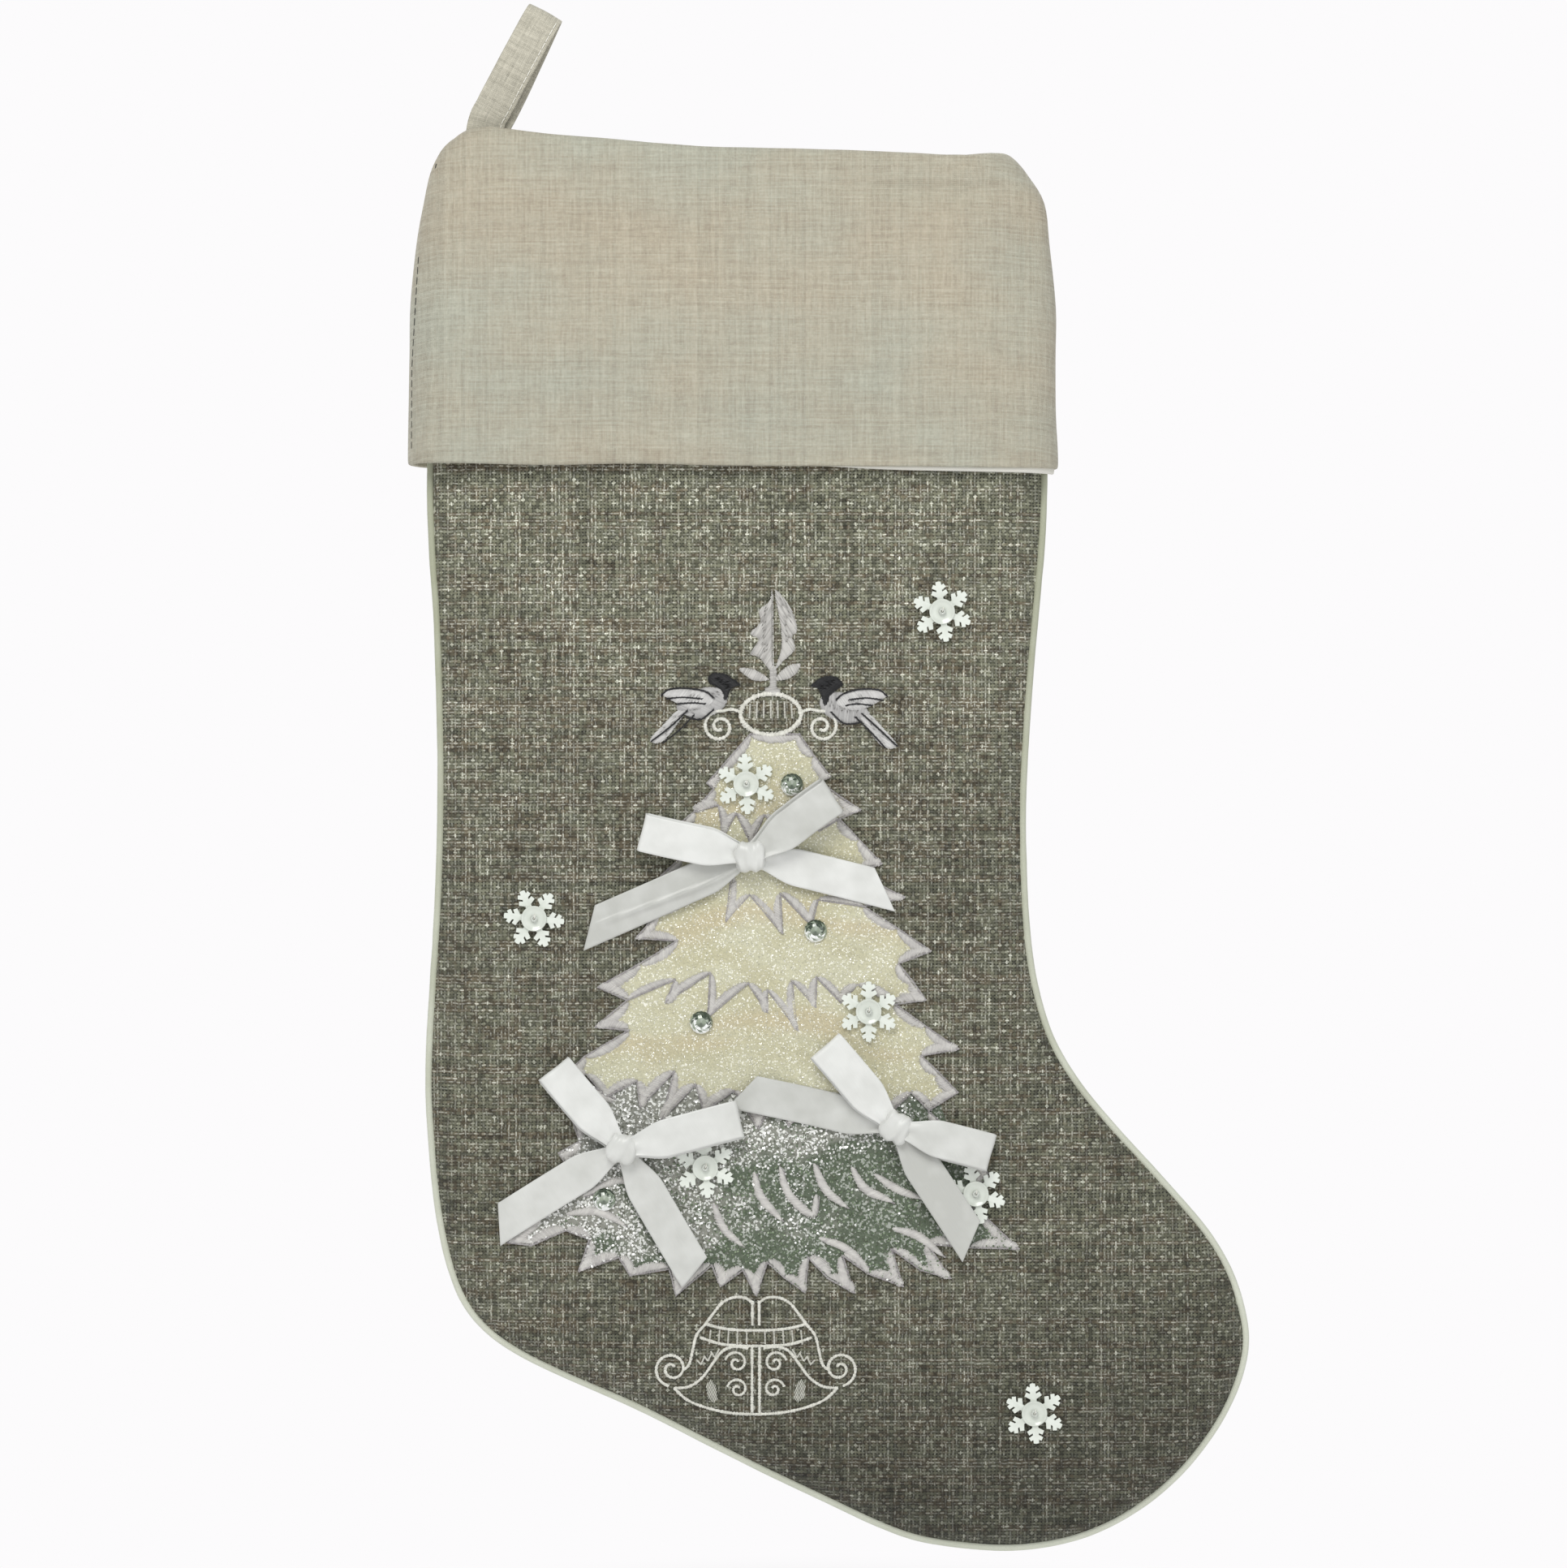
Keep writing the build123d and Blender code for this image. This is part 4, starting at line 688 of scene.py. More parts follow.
# ------------------------------------------------------------------ leg outline and height
_e = [tuple(p) for p in catmull(LEG, 8)]
_e += [(142.0, -20.0), (139.0, 2.0), (100.0, 8.0), (50.0, 8.0), (10.0, 8.0), (-18.0, 2.0), (-22.0, -20.0)]
EDGE = resample(_e, 1.6, closed=True)
for _ in range(6):
    EDGE = EDGE * 0.5 + (np.roll(EDGE, 1, 0) + np.roll(EDGE, -1, 0)) * 0.25
NORM = tangents(EDGE, True)
NORM = np.stack([-NORM[:, 1], NORM[:, 0]], 1)

GX, GZ = np.arange(-46.0, 236.0, 2.0), np.arange(-502.0, 14.0, 2.0)
gx, gz = np.meshgrid(GX, GZ, indexing="ij")
DIST = edge_distance(EDGE, gx, gz)
DIST[~inside(EDGE, gx, gz)] *= -1


def sample(table, x, z):
    u = np.clip((np.asarray(x, float) - GX[0]) / 2.0, 0, len(GX) - 1.001)
    v = np.clip((np.asarray(z, float) - GZ[0]) / 2.0, 0, len(GZ) - 1.001)
    i, j = np.floor(u).astype(int), np.floor(v).astype(int)
    fu, fv = u - i, v - j
    return (table[i, j] * (1 - fu) + table[i + 1, j] * fu) * (1 - fv) + (table[i, j + 1] * (1 - fu) + table[i + 1, j + 1] * fu) * fv


def rise(d):
    """Height of the stuffed cloth at a distance from the seam."""
    q = 1 - np.exp(-np.maximum(d - 2.0, 0) / 6.2)
    return 0.5 + 9.55 * q ** 0.85


def blur(t, times):
    t = t.copy()
    for _ in range(times):
        p = np.pad(t, 1, mode="edge")
        t = (p[1:-1, 1:-1] * 4 + p[:-2, 1:-1] + p[2:, 1:-1] + p[1:-1, :-2] + p[1:-1, 2:]) / 8
    return t


def shell_mesh(height, side, pitch, depths, trim=None):
    """Cloth surface between the seam rings: rings near the edge, even triangles inside."""
    rings = [EDGE + NORM * d for d in depths]
    n = len(EDGE)
    verts = [r for r in rings]
    quads = grid_faces(len(depths), n, close_cols=True)
    last = rings[-1]
    xs = np.arange(-44, 232, pitch)
    zs = np.arange(-500, 10, pitch * 0.87)
    px, pz = np.meshgrid(xs, zs, indexing="ij")
    px = px + (np.arange(len(zs)) % 2)[None, :] * pitch / 2
    d = sample(DIST, px, pz)
    keep = d > depths[-1] + pitch * 0.6
    inner = np.stack([px[keep], pz[keep]], 1)
    pts = [Vector(p) for p in last] + [Vector(p) for p in inner]
    loop = [(i, (i + 1) % n) for i in range(n)]
    out = delaunay_2d_cdt(pts, loop, [], 1, 1e-4)
    v2 = np.array([list(v) for v in out[0]])
    tris = np.array([list(f) for f in out[2] if len(f) == 3])
    # The first n of the triangulation are the last ring.
    base = len(depths) * n - n
    orig = out[3]
    remap = np.zeros(len(v2), int)
    extra = []
    for i, o in enumerate(orig):
        if o and o[0] < n:
            remap[i] = base + o[0]
        else:
            remap[i] = len(depths) * n + len(extra)
            extra.append(v2[i])
    flat = np.vstack(verts + [np.array(extra)])
    tris = remap[tris]
    hh = height(flat[:, 0], flat[:, 1])
    v3 = np.stack([flat[:, 0], side * hh, flat[:, 1]], 1)
    cut = lambda f: f[(flat[f][:, :, 1].mean(1) < mouth_z(flat[f][:, :, 0].mean(1)) - (1.6 if trim is None else trim))]
    quads, tris = cut(quads), cut(tris)
    # Outward facing.
    a, b, c = v3[tris[:, 0]], v3[tris[:, 1]], v3[tris[:, 2]]
    if (np.cross(b - a, c - a)[:, 1].mean() > 0) != (side > 0):
        tris = tris[:, ::-1]
    a, b, c = v3[quads[:, 0]], v3[quads[:, 1]], v3[quads[:, 2]]
    if (np.cross(b - a, c - a)[:, 1].mean() > 0) != (side > 0):
        quads = quads[:, ::-1]
    used = np.unique(np.concatenate([quads.ravel(), tris.ravel()]))
    idx = np.full(len(v3), -1)
    idx[used] = np.arange(len(used))
    return v3[used], idx[tris], idx[quads]


def relief(side):
    """Puckers and slack of the sewn bag: a cloth simulation of the panel under slight pressure, held at its seam."""
    base = rise(np.maximum(DIST, 0))
    depths = [2.2, 4.2, 7.0, 11.0]
    v, t, q = shell_mesh(lambda x, z: rise(sample(DIST, x, z)) * 0.93, side, 5.2, depths)
    ob = build("sim_panel", v, [t, q])
    d = sample(DIST, v[:, 0], v[:, 2])
    group = ob.vertex_groups.new(name="pin")
    pinned = np.where((d < 2.9) | (v[:, 2] > mouth_z(v[:, 0]) - 8))[0]
    group.add([int(i) for i in pinned], 1.0, "REPLACE")
    mod = ob.modifiers.new("Cloth", "CLOTH")
    s = mod.settings
    s.quality = 6
    s.mass = 0.25
    s.tension_stiffness = s.compression_stiffness = 12
    s.shear_stiffness = 6
    s.bending_stiffness = 0.25
    s.shrink_min = -0.045
    s.vertex_group_mass = "pin"
    s.use_pressure = True
    s.uniform_pressure_force = 0.35 if side < 0 else -0.35
    s.effector_weights.gravity = 0.35
    scene = bpy.context.scene
    scene.frame_start, scene.frame_end = 1, 30
    mod.point_cache.frame_start, mod.point_cache.frame_end = 1, 30
    for f in range(1, 25):
        scene.frame_set(f)
    got = ob.evaluated_get(bpy.context.evaluated_depsgraph_get())
    co = np.zeros(len(got.data.vertices) * 3)
    got.data.vertices.foreach_get("co", co)
    co = co.reshape(-1, 3) / MM
    tree = BVHTree.FromPolygons([Vector(p) for p in co], [tuple(int(i) for i in f) for f in t] + [tuple(int(i) for i in f) for f in q])
    out = base.copy()
    for i in range(0, len(GX)):
        for j in range(0, len(GZ)):
            if DIST[i, j] > 2.5 and GZ[j] < -30:
                hit = tree.ray_cast(Vector((GX[i], side * 90.0, GZ[j])), Vector((0, -side, 0)))
                if hit[0] is not None:
                    out[i, j] = side * hit[0].y
    scene.frame_set(1)
    bpy.data.objects.remove(ob)
    r = out - base
    r[DIST <= 2.5] = 0
    low = blur(r, 160)
    high = r - low
    print("relief", side, "range", r.min(), r.max(), "high", high.std())
    high = np.tanh(high / 1.6) * 1.1
    low = np.tanh(low / (np.abs(low).max() + 1e-6)) * 0.9
    return blur(high, 2) + low * 0.5


REL_F = relief(-1)
REL_B = relief(1)
near_edge = smoothstep(2.0, 10.0, DIST)


def front_height(x, z):
    d = sample(DIST, x, z)
    return rise(np.maximum(d, 0)) + sample(REL_F * near_edge, x, z) * 0.8


def back_height(x, z):
    d = sample(DIST, x, z)
    return rise(np.maximum(d, 0)) + sample(REL_B * near_edge, x, z)


DEPTHS = [1.2, 1.9, 2.4, 3.0, 3.8, 4.8, 6.2, 8.2, 10.6, 13.0]
v, t, q = shell_mesh(front_height, -1, 2.4, DEPTHS)
front = build("front_panel_cloth", v, [t, q], MAT["dark"])
def tuck(ob, drop=4.2):
    """The top edge of a panel stays below the cuff's sagging fold."""
    co = np.empty(len(ob.data.vertices) * 3)
    ob.data.vertices.foreach_get("co", co)
    co = co.reshape(-1, 3)
    co[:, 2] -= drop * MM * smoothstep(-80.0, -44.0, co[:, 2] / MM)
    ob.data.vertices.foreach_set("co", co.ravel())
    ob.data.update()


tuck(front)
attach(front, "stocking"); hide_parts("front_panel")
v, t, q = shell_mesh(back_height, 1, 3.0, DEPTHS)
back = build("back_panel_cloth", v, [t, q], MAT["back"])
tuck(back)
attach(back, "stocking"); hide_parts("back_panel")
area = abs(np.sum(EDGE[:, 0] * np.roll(EDGE[:, 1], -1) - np.roll(EDGE[:, 0], -1) * EDGE[:, 1])) / 2 * 1e-6 - 0.0085
LIN_DEPTHS = [2.6, 3.4, 4.6, 6.2, 8.4, 11.0, 13.0]
for nm, side, fn in (("front", -1, front_height), ("back", 1, back_height)):
    def under(x, z, fn=fn):
        d = sample(DIST, x, z)
        return np.maximum(fn(x, z) - 1.7 * smoothstep(2.0, 8.0, d), 0.05)
    v, t, q = shell_mesh(under, side, 5.0, LIN_DEPTHS, 9.0)
    ln = build(nm + "_lining_cloth", v, [t[:, ::-1], q[:, ::-1]], MAT["lining"])
    tuck(ln)
    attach(ln, "stocking"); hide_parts(nm + "_lining")


def on_front(x, z, h):
    """Points at height h above the front cloth."""
    x, z = np.asarray(x, float), np.asarray(z, float)
    return np.stack([x, -(front_height(x, z) + h), z], -1)


def tree_pad(x, z):
    """How much the applique lifts what lies on it."""
    return 0.0


# ------------------------------------------------------------------ piping
def tube(path, radius, sides=10, closed=False, up=None, squash=1.0):
    """Round tube along points (n, 3), radius a number or one per point."""
    p = np.asarray(path, float)
    n = len(p)
    t = tangents(p, closed)
    ref = np.array([0.0, 1.0, 0.0]) if up is None else np.asarray(up, float)
    a = np.cross(t, np.broadcast_to(ref, t.shape))
    a /= np.maximum(np.linalg.norm(a, axis=1, keepdims=True), 1e-9)
    b = np.cross(a, t)
    r = np.broadcast_to(np.asarray(radius, float), (n,))
    ang = np.linspace(0, 2 * math.pi, sides, endpoint=False)
    v = p[:, None] + r[:, None, None] * (np.cos(ang)[None, :, None] * a[:, None] + np.sin(ang)[None, :, None] * b[:, None] * squash)
    return v.reshape(-1, 3), grid_faces(n, sides, close_cols=True, close_rows=closed)


path = EDGE + NORM * 1.35
wob = value_noise(EDGE[:, 0], EDGE[:, 1], 22, 71) * 0.14
below = path[:, 1] < mouth_z(path[:, 0]) - 2.0
idx = np.where(below)[0]
start = int(np.where(~below)[0][-1] + 1) % len(EDGE) if (~below).any() else 0
order = [(start + k) % len(EDGE) for k in range(len(EDGE))]
order = [i for i in order if below[i]]
p2 = resample(np.array([[path[i, 0], wob[i], path[i, 1]] for i in order]), 1.1)
rad = 1.3 + value_noise(p2[:, 0], p2[:, 2], 7, 72) * 0.05 + value_noise(p2[:, 0], p2[:, 2], 2.4, 73) * 0.02
bag = Bag()
tv, tq = tube(p2, rad, 14)
bag.add(tv, quads=tq)
# Flange of the piping cloth going into the seam, front and back.
fl = np.array([EDGE[i] + NORM[i] * 2.5 for i in order])
fl = resample(fl, 2.0)
for s in (-1, 1):
    a = np.stack([fl[:, 0], np.full(len(fl), s * 0.55), fl[:, 1]], 1)
    nn = tangents(fl)
    nn = np.stack([-nn[:, 1], nn[:, 0]], 1)
    b = np.stack([fl[:, 0] + nn[:, 0] * 1.6, np.full(len(fl), s * 0.3), fl[:, 1] + nn[:, 1] * 1.6], 1)
    bag.add(np.concatenate([a, b]), quads=grid_faces(2, len(fl)))
piping = bag.make("edge_piping_cord", MAT["piping"])
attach(piping, "stocking"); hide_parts("edge_piping")

# ------------------------------------------------------------------ cuff
CUFF_ROWS = [
    # left x, z, right x, z, half thickness, corner, weight of the dents
    (-42.4, -137.0, 164.2, -138.5, 13.4, 16, 0),
    (-42.5, -143.6, 164.3, -144.9, 13.5, 16, 0),
    (-43.0, -144.6, 164.8, -145.8, 14.0, 16, 0),
    (-43.5, -143.9, 165.3, -145.2, 14.5, 16, 0.3),
    (-43.5, -138.0, 165.2, -139.5, 14.4, 16, 1),
    (-43.3, -125.8, 164.6, -127.9, 14.2, 16, 1),
    (-43.0, -109.0, 164.5, -111.0, 13.9, 16, 1),
    (-42.7, -93.0, 164.6, -94.4, 13.6, 16, 1),
    (-40.7, -73.4, 162.6, -74.4, 13.3, 16, 1),
    (-38.5, -60.3, 160.9, -60.8, 13.0, 16, 1),
    (-36.4, -50.0, 155.6, -51.9, 12.5, 16, 0.8),
    (-33.2, -42.6, 151.9, -47.4, 12.0, 16, 0.5),
    (-29.9, -38.0, 149.2, -45.1, 11.2, 15, 0.2),
    (-27.6, -36.3, 146.4, -44.4, 10.2, 14, 0),
    (-25.0, -35.7, 143.2, -44.0, 9.2, 12, 0),
    (-22.8, -36.6, 140.0, -44.8, 8.4, 10, 0),
    (-21.4, -39.5, 138.2, -47.4, 7.9, 9, 0),
    (-21.0, -46.0, 137.4, -53.0, 7.7, 8, 0),
    (-21.2, -54.0, 137.4, -60.0, 7.7, 8, 0),
]
rows = catmull(CUFF_ROWS, 5)
rows[:, 6] = np.clip(rows[:, 6], 0, 1)


def lens_row(lx, lz, rx, rz, h, corner, mid=70, turn=14):
    w = math.hypot(rx - lx, rz - lz)
    th = np.linspace(0, math.pi / 2, turn)
    e = corner * (1 - np.cos(th))
    ee = np.concatenate([e, np.linspace(corner, w - corner, mid)[1:-1], (w - e)[::-1]])
    f = ee / w
    u = np.minimum(1, np.minimum(ee, w - ee) / corner)
    y = h * np.sqrt(np.maximum(0, 1 - (1 - u) ** 2))
    x, z = lx + (rx - lx) * f, lz + (rz - lz) * f
    fr = np.stack([x, -y, z], 1)
    bk = np.stack([x, y, z], 1)[::-1][1:-1]
    return np.concatenate([fr, bk])


def dents(x, z, front):
    """Slack of the cuff: soft hollows and swells, mm outwards."""
    h = value_noise(x, z, 46, 31 if front else 61) * 0.9 + value_noise(x, z, 21, 32 if front else 62) * 0.45 + value_noise(x, z, 9, 33) * 0.08
    g = lambda cx, cz, sx, sz, a, turn=0.0: a * np.exp(-((((x - cx) * math.cos(turn) + (z - cz) * math.sin(turn)) / sx) ** 2 + ((-(x - cx) * math.sin(turn) + (z - cz) * math.cos(turn)) / sz) ** 2))
    if front:
        h = h + g(126, -55.0, 32, 4.2, -2.2, -0.05) + g(156, -72, 8, 14, -2.2, 0.25) + g(148, -88, 16, 8, -1.5, 0.5) + g(152, -118, 7, 22, -1.3) + g(-14, -62, 7, 15, 0.8, -0.3) + g(20, -92, 50, 20, 0.8) + g(95, -120, 40, 16, -0.6)
        h = h + g(60, -60, 60, 7, 0.6)
        # The side seam is pressed a little way in from the edge.
        xr = -36.5 + 6.0 * smoothstep(-130, -55, z)
        h = h + 0.55 * np.exp(-((x - xr) / 1.3) ** 2) - 0.35 * np.exp(-((x - xr - 3.0) / 1.6) ** 2)
    return h


# How far the top fold sags below the straight line between its corners, mm.
SAG_X = [-45, -33, -28.7, -24, -18, 2.7, 10.6, 18.4, 26.3, 34.2, 42, 49.9, 57.7, 65.6, 73.5, 81.3, 97, 112.8, 128.5, 136.3, 144.2, 152, 170]
SAG_Z = [0, 2.0, 3.4, 2.0, 1.0, 2.3, 2.7, 3.1, 3.6, 4.0, 4.0, 4.0, 3.8, 3.5, 3.3, 3.0, 2.7, 2.9, 3.0, 2.5, 0.9, -0.2, 0]
cv = []
for lx, lz, rx, rz, h, corner, w in rows:
    ring = lens_row(lx, lz, rx, rz, h, corner)
    amp = dents(ring[:, 0], ring[:, 2], True) * (ring[:, 1] < 0) + dents(ring[:, 0], ring[:, 2], False) * (ring[:, 1] >= 0)
    face = np.clip(np.abs(ring[:, 1]) / h, 0, 1) ** 2
    ring[:, 1] += np.sign(ring[:, 1]) * amp * 1.5 * face * w
    # The hem and fold are not ruler-straight.
    ring[:, 2] += value_noise(ring[:, 0], ring[:, 1] * 3, 30, 35) * 0.35
    ring[:, 2] -= np.interp(ring[:, 0], SAG_X, SAG_Z) * smoothstep(-80.0, -50.0, ring[:, 2])
    cv.append(ring)
cv = np.array(cv)
nr, nc = cv.shape[:2]
fc = grid_faces(nr, nc, close_cols=True)
cuff = build("cuff_cloth", cv.reshape(-1, 3), [fc[:, ::-1]], MAT["cuff"])
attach(cuff, "stocking"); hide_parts("cuff")
sol = cuff.modifiers.new("ply", "SOLIDIFY")
sol.thickness = 0.0005
sol.offset = -1

FAC_ROWS = [
    (-41.6, -100.0, 163.2, -100.0, 12.1, 15, 0),
    (-42.0, -125.0, 163.6, -127.0, 12.9, 15, 0),
    (-42.3, -140.0, 164.2, -143.0, 13.2, 15, 0),
    (-42.4, -143.6, 164.6, -147.4, 13.4, 15, 0),
    (-42.1, -144.0, 164.3, -148.0, 13.1, 15, 0),
    (-41.8, -143.6, 164.0, -147.5, 12.8, 15, 0),
    (-41.5, -138.0, 163.6, -140.0, 12.6, 15, 0),
]
fv = []
for lx, lz, rx, rz, h, corner, w in catmull(FAC_ROWS, 4):
    ring = lens_row(lx, lz, rx, rz, h, corner, 60, 10)
    # It shows only along the right third of the front.
    f = np.clip((ring[:, 0] - 60) / 60, 0, 1) * (ring[:, 1] < 0) + 0.3 * (ring[:, 1] >= 0)
    ring[:, 2] += (1 - smoothstep(0, 1, f)) * 1.6
    fv.append(ring)
fv = np.array(fv)
facing = build("cuff_facing_cloth", fv.reshape(-1, 3), [grid_faces(fv.shape[0], fv.shape[1], close_cols=True)], MAT["lining"])
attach(facing, "stocking"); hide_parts("cuff_facing")


# ------------------------------------------------------------------ threads
def strands(bag, p0, p1, h0, lift, radius, tint, sections=6, wob=0.0):
    """Arched threads from p0 to p1 (n, 2) lying on the front cloth."""
    p0, p1 = np.asarray(p0, float), np.asarray(p1, float)
    n = len(p0)
    if not n:
        return
    h0 = np.broadcast_to(np.asarray(h0, float), (n,))
    lift = np.broadcast_to(np.asarray(lift, float), (n,))
    radius = np.broadcast_to(np.asarray(radius, float), (n,))
    t = np.linspace(0, 1, sections)
    c = p0[:, None] + (p1 - p0)[:, None] * t[None, :, None]
    d = p1 - p0
    ln = np.maximum(np.linalg.norm(d, axis=1, keepdims=True), 1e-6)
    nrm = np.stack([-d[:, 1], d[:, 0]], 1) / ln
    h = h0[:, None] + lift[:, None] * np.sin(math.pi * np.clip(t, 0, 1))[None] ** 0.6
    r = radius[:, None] * (0.35 + 0.65 * np.sin(math.pi * (0.08 + 0.84 * t))[None] ** 0.5)
    ang = np.radians([-15, 40, 90, 140, 195])
    off = np.cos(ang)[None, None, :, None] * nrm[:, None, None, :] * r[:, :, None, None]
    pos = c[:, :, None, :] + off
    hh = h[:, :, None] + np.sin(ang)[None, None, :] * r[:, :, None]
    x, z = pos[..., 0], pos[..., 1]
    v = on_front(x.ravel(), z.ravel(), hh.ravel())
    k = len(ang)
    one = grid_faces(sections, k)
    quads = (one[None] + (np.arange(n) * sections * k)[:, None, None]).reshape(-1, 4)
    bag.add(v, quads=quads, value=np.repeat(np.broadcast_to(np.asarray(tint, float), (n,)), sections * k))


def satin_path(bag, pts, width, h0=0.55, lift=0.35, pitch=0.34, slant=0.35, radius=0.21, rng=RNG, profile=None, jag=0.12, tone=None):
    """Satin stitch across a line: width a number, or profile gives it along the line."""
    p = resample(pts, pitch)
    t = tangents(p)
    nrm = np.stack([-t[:, 1], t[:, 0]], 1)
    s = np.linspace(0, 1, len(p))
    w = np.full(len(p), float(width)) if profile is None else profile(s, p) * width
    w = w * (1 + rng.uniform(-jag, jag, len(p)))
    dirn = nrm + t * slant
    dirn /= np.linalg.norm(dirn, axis=1, keepdims=True)
    a = p + dirn * w[:, None] / 2
    b = p - dirn * w[:, None] / 2
    strands(bag, a, b, h0 + rng.uniform(-0.03, 0.03, len(p)), lift * np.clip(w / 2, 0.4, 1.3), radius,
            rng.uniform(0, 1, len(p)) if tone is None else np.clip(tone + rng.uniform(-0.2, 0.2, len(p)), 0, 1))


def run_path(bag, pts, h0=0.6, radius=0.2, stitch=2.2, gap=0.35, rng=RNG, lift=0.12):
    """A running or back stitch along a line."""
    p = resample(pts, 0.1)
    s = 0.0
    seg = []
    total = len(p) * 0.1
    k = 0
    while s < total - 0.4:
        e = min(total, s + stitch)
        i, j = int(s / 0.1), min(len(p) - 1, int(e / 0.1))
        seg.append((p[i], p[j]))
        s = e + gap
    if seg:
        a, b = np.array([q[0] for q in seg]), np.array([q[1] for q in seg])
        strands(bag, a, b, h0, lift, radius, rng.uniform(0, 1, len(a)))


def fill(bag, poly, angle, h0=0.25, lift=0.35, pitch=0.33, radius=0.21, rng=RNG, tone=None, long=6.5):
    """Satin fill of a polygon with threads lying at an angle; long rows are split as a machine splits them."""
    poly = np.asarray(poly, float)
    ca, sa = math.cos(math.radians(angle)), math.sin(math.radians(angle))
    q = np.stack([poly[:, 0] * ca + poly[:, 1] * sa, -poly[:, 0] * sa + poly[:, 1] * ca], 1)
    a, b = [], []
    k = 0
    for level in np.arange(q[:, 1].min() + pitch / 2, q[:, 1].max(), pitch):
        xs = []
        for (x0, y0), (x1, y1) in zip(q, np.roll(q, -1, 0)):
            if (y0 > level) != (y1 > level):
                xs.append(x0 + (level - y0) * (x1 - x0) / (y1 - y0))
        xs.sort()
        for u0, u1 in zip(xs[::2], xs[1::2]):
            k += 1
            if u1 - u0 < 0.25:
                continue
            parts = max(1, int(math.ceil((u1 - u0) / long)))
            cuts = np.linspace(u0, u1, parts + 1)
            cuts[1:-1] += rng.uniform(-1.2, 1.2, max(0, parts - 1))
            for c0, c1 in zip(cuts[:-1], cuts[1:]):
                j = rng.uniform(-0.12, 0.12, 2)
                a.append((c0 + j[0], level))
                b.append((c1 + j[1], level))
    if not a:
        return
    a, b = np.array(a), np.array(b)
    back_ = lambda w: np.stack([w[:, 0] * ca - w[:, 1] * sa, w[:, 0] * sa + w[:, 1] * ca], 1)
    wd = np.linalg.norm(a - b, axis=1)
    strands(bag, back_(a), back_(b), h0, lift * np.clip(wd / 3.5, 0.3, 1.0), radius, rng.uniform(0, 1, len(a)) if tone is None else np.clip(tone + rng.uniform(-0.25, 0.25, len(a)), 0, 1))


# ------------------------------------------------------------------ tree cloths
def applique(name, poly, mat, h, pitch=1.6, puff=0.35, lift=None):
    """Flat cut cloth laid on the panel, with a turned edge."""
    edge = resample(np.array(poly), 0.8, closed=True)
    n = len(edge)
    xs = np.arange(edge[:, 0].min(), edge[:, 0].max(), pitch)
    zs = np.arange(edge[:, 1].min(), edge[:, 1].max(), pitch)
    px, pz = np.meshgrid(xs, zs, indexing="ij")
    px, pz = px.ravel(), pz.ravel()
    keep = inside(edge, px, pz)
    px, pz = px[keep], pz[keep]
    d = edge_distance(edge, px, pz)
    px, pz, d = px[d > 0.7], pz[d > 0.7], d[d > 0.7]
    pts = [Vector(p) for p in edge] + [Vector((a, b)) for a, b in zip(px, pz)]
    out = delaunay_2d_cdt(pts, [(i, (i + 1) % n) for i in range(n)], [], 1, 1e-4)
    v2 = np.array([list(v) for v in out[0]])
    tris = np.array([list(f) for f in out[2] if len(f) == 3])
    dd = edge_distance(edge, v2[:, 0], v2[:, 1])
    hh = h + puff * (1 - np.exp(-dd / 2.0)) + (lift(v2[:, 0], v2[:, 1]) if lift else 0) * (1 - np.exp(-dd / 3.0))
    v3 = on_front(v2[:, 0], v2[:, 1], hh)
    a, b, c = v3[tris[:, 0]], v3[tris[:, 1]], v3[tris[:, 2]]
    if np.cross(b - a, c - a)[:, 1].mean() > 0:
        tris = tris[:, ::-1]
    bag = Bag()
    bag.add(v3, tris=tris)
    # The cut edge goes down to the cloth.
    e3 = on_front(edge[:, 0], edge[:, 1], np.full(n, h))
    g3 = on_front(edge[:, 0], edge[:, 1], np.full(n, -0.25))
    bag.add(np.concatenate([e3, g3]), quads=grid_faces(2, n, close_cols=True))
    return bag.make(name, mat)


def ripple(x, z):
    return value_noise(x, z, 16, 81) * 0.35 + value_noise(x, z, 6, 82) * 0.15


cream = applique("tree_upper_tiers", CREAM, MAT["cream"], 0.35, 1.5, 0.3, ripple)
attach(cream, "stocking"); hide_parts("tree_applique_cream")
glit = applique("tree_lowest_tier", GLITTER, MAT["glitter"], 0.3, 1.5, 0.25, ripple)
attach(glit, "stocking"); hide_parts("tree_applique_glitter")
UNDER = [(25.5, -340.0), (60.0, -334.0), (112.0, -338.0), (127.0, -349.0), (130.0, -358.0), (118.0, -366.0), (90.0, -368.0), (50.0, -368.0), (24.0, -360.0), (16.0, -352.0)]
under_tier = applique("tree_lowest_tier_top", UNDER, MAT["glitter"], 0.08, 1.6, 0.12)
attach(under_tier, "stocking")
backing_poly = [(5, -200), (135, -200), (135, -330), (140, -405), (20, -412), (5, -400)]
bk = resample(np.array(backing_poly, float), 6, closed=True)
n = len(bk)
xs, zs = np.meshgrid(np.arange(6, 138, 7.0), np.arange(-410, -200, 7.0), indexing="ij")
kk = inside(bk, xs, zs) & (edge_distance(bk, xs, zs) > 2)
pts = [Vector(p) for p in bk] + [Vector((a, b)) for a, b in zip(xs[kk], zs[kk])]
out = delaunay_2d_cdt(pts, [(i, (i + 1) % n) for i in range(n)], [], 1, 1e-4)
v2 = np.array([list(v) for v in out[0]])
bko = build("embroidery_backing_sheet", on_front(v2[:, 0], v2[:, 1], np.full(len(v2), -0.8)), [np.array([list(f) for f in out[2] if len(f) == 3])], MAT["lining"])
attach(bko, "stocking"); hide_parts("embroidery_backing")


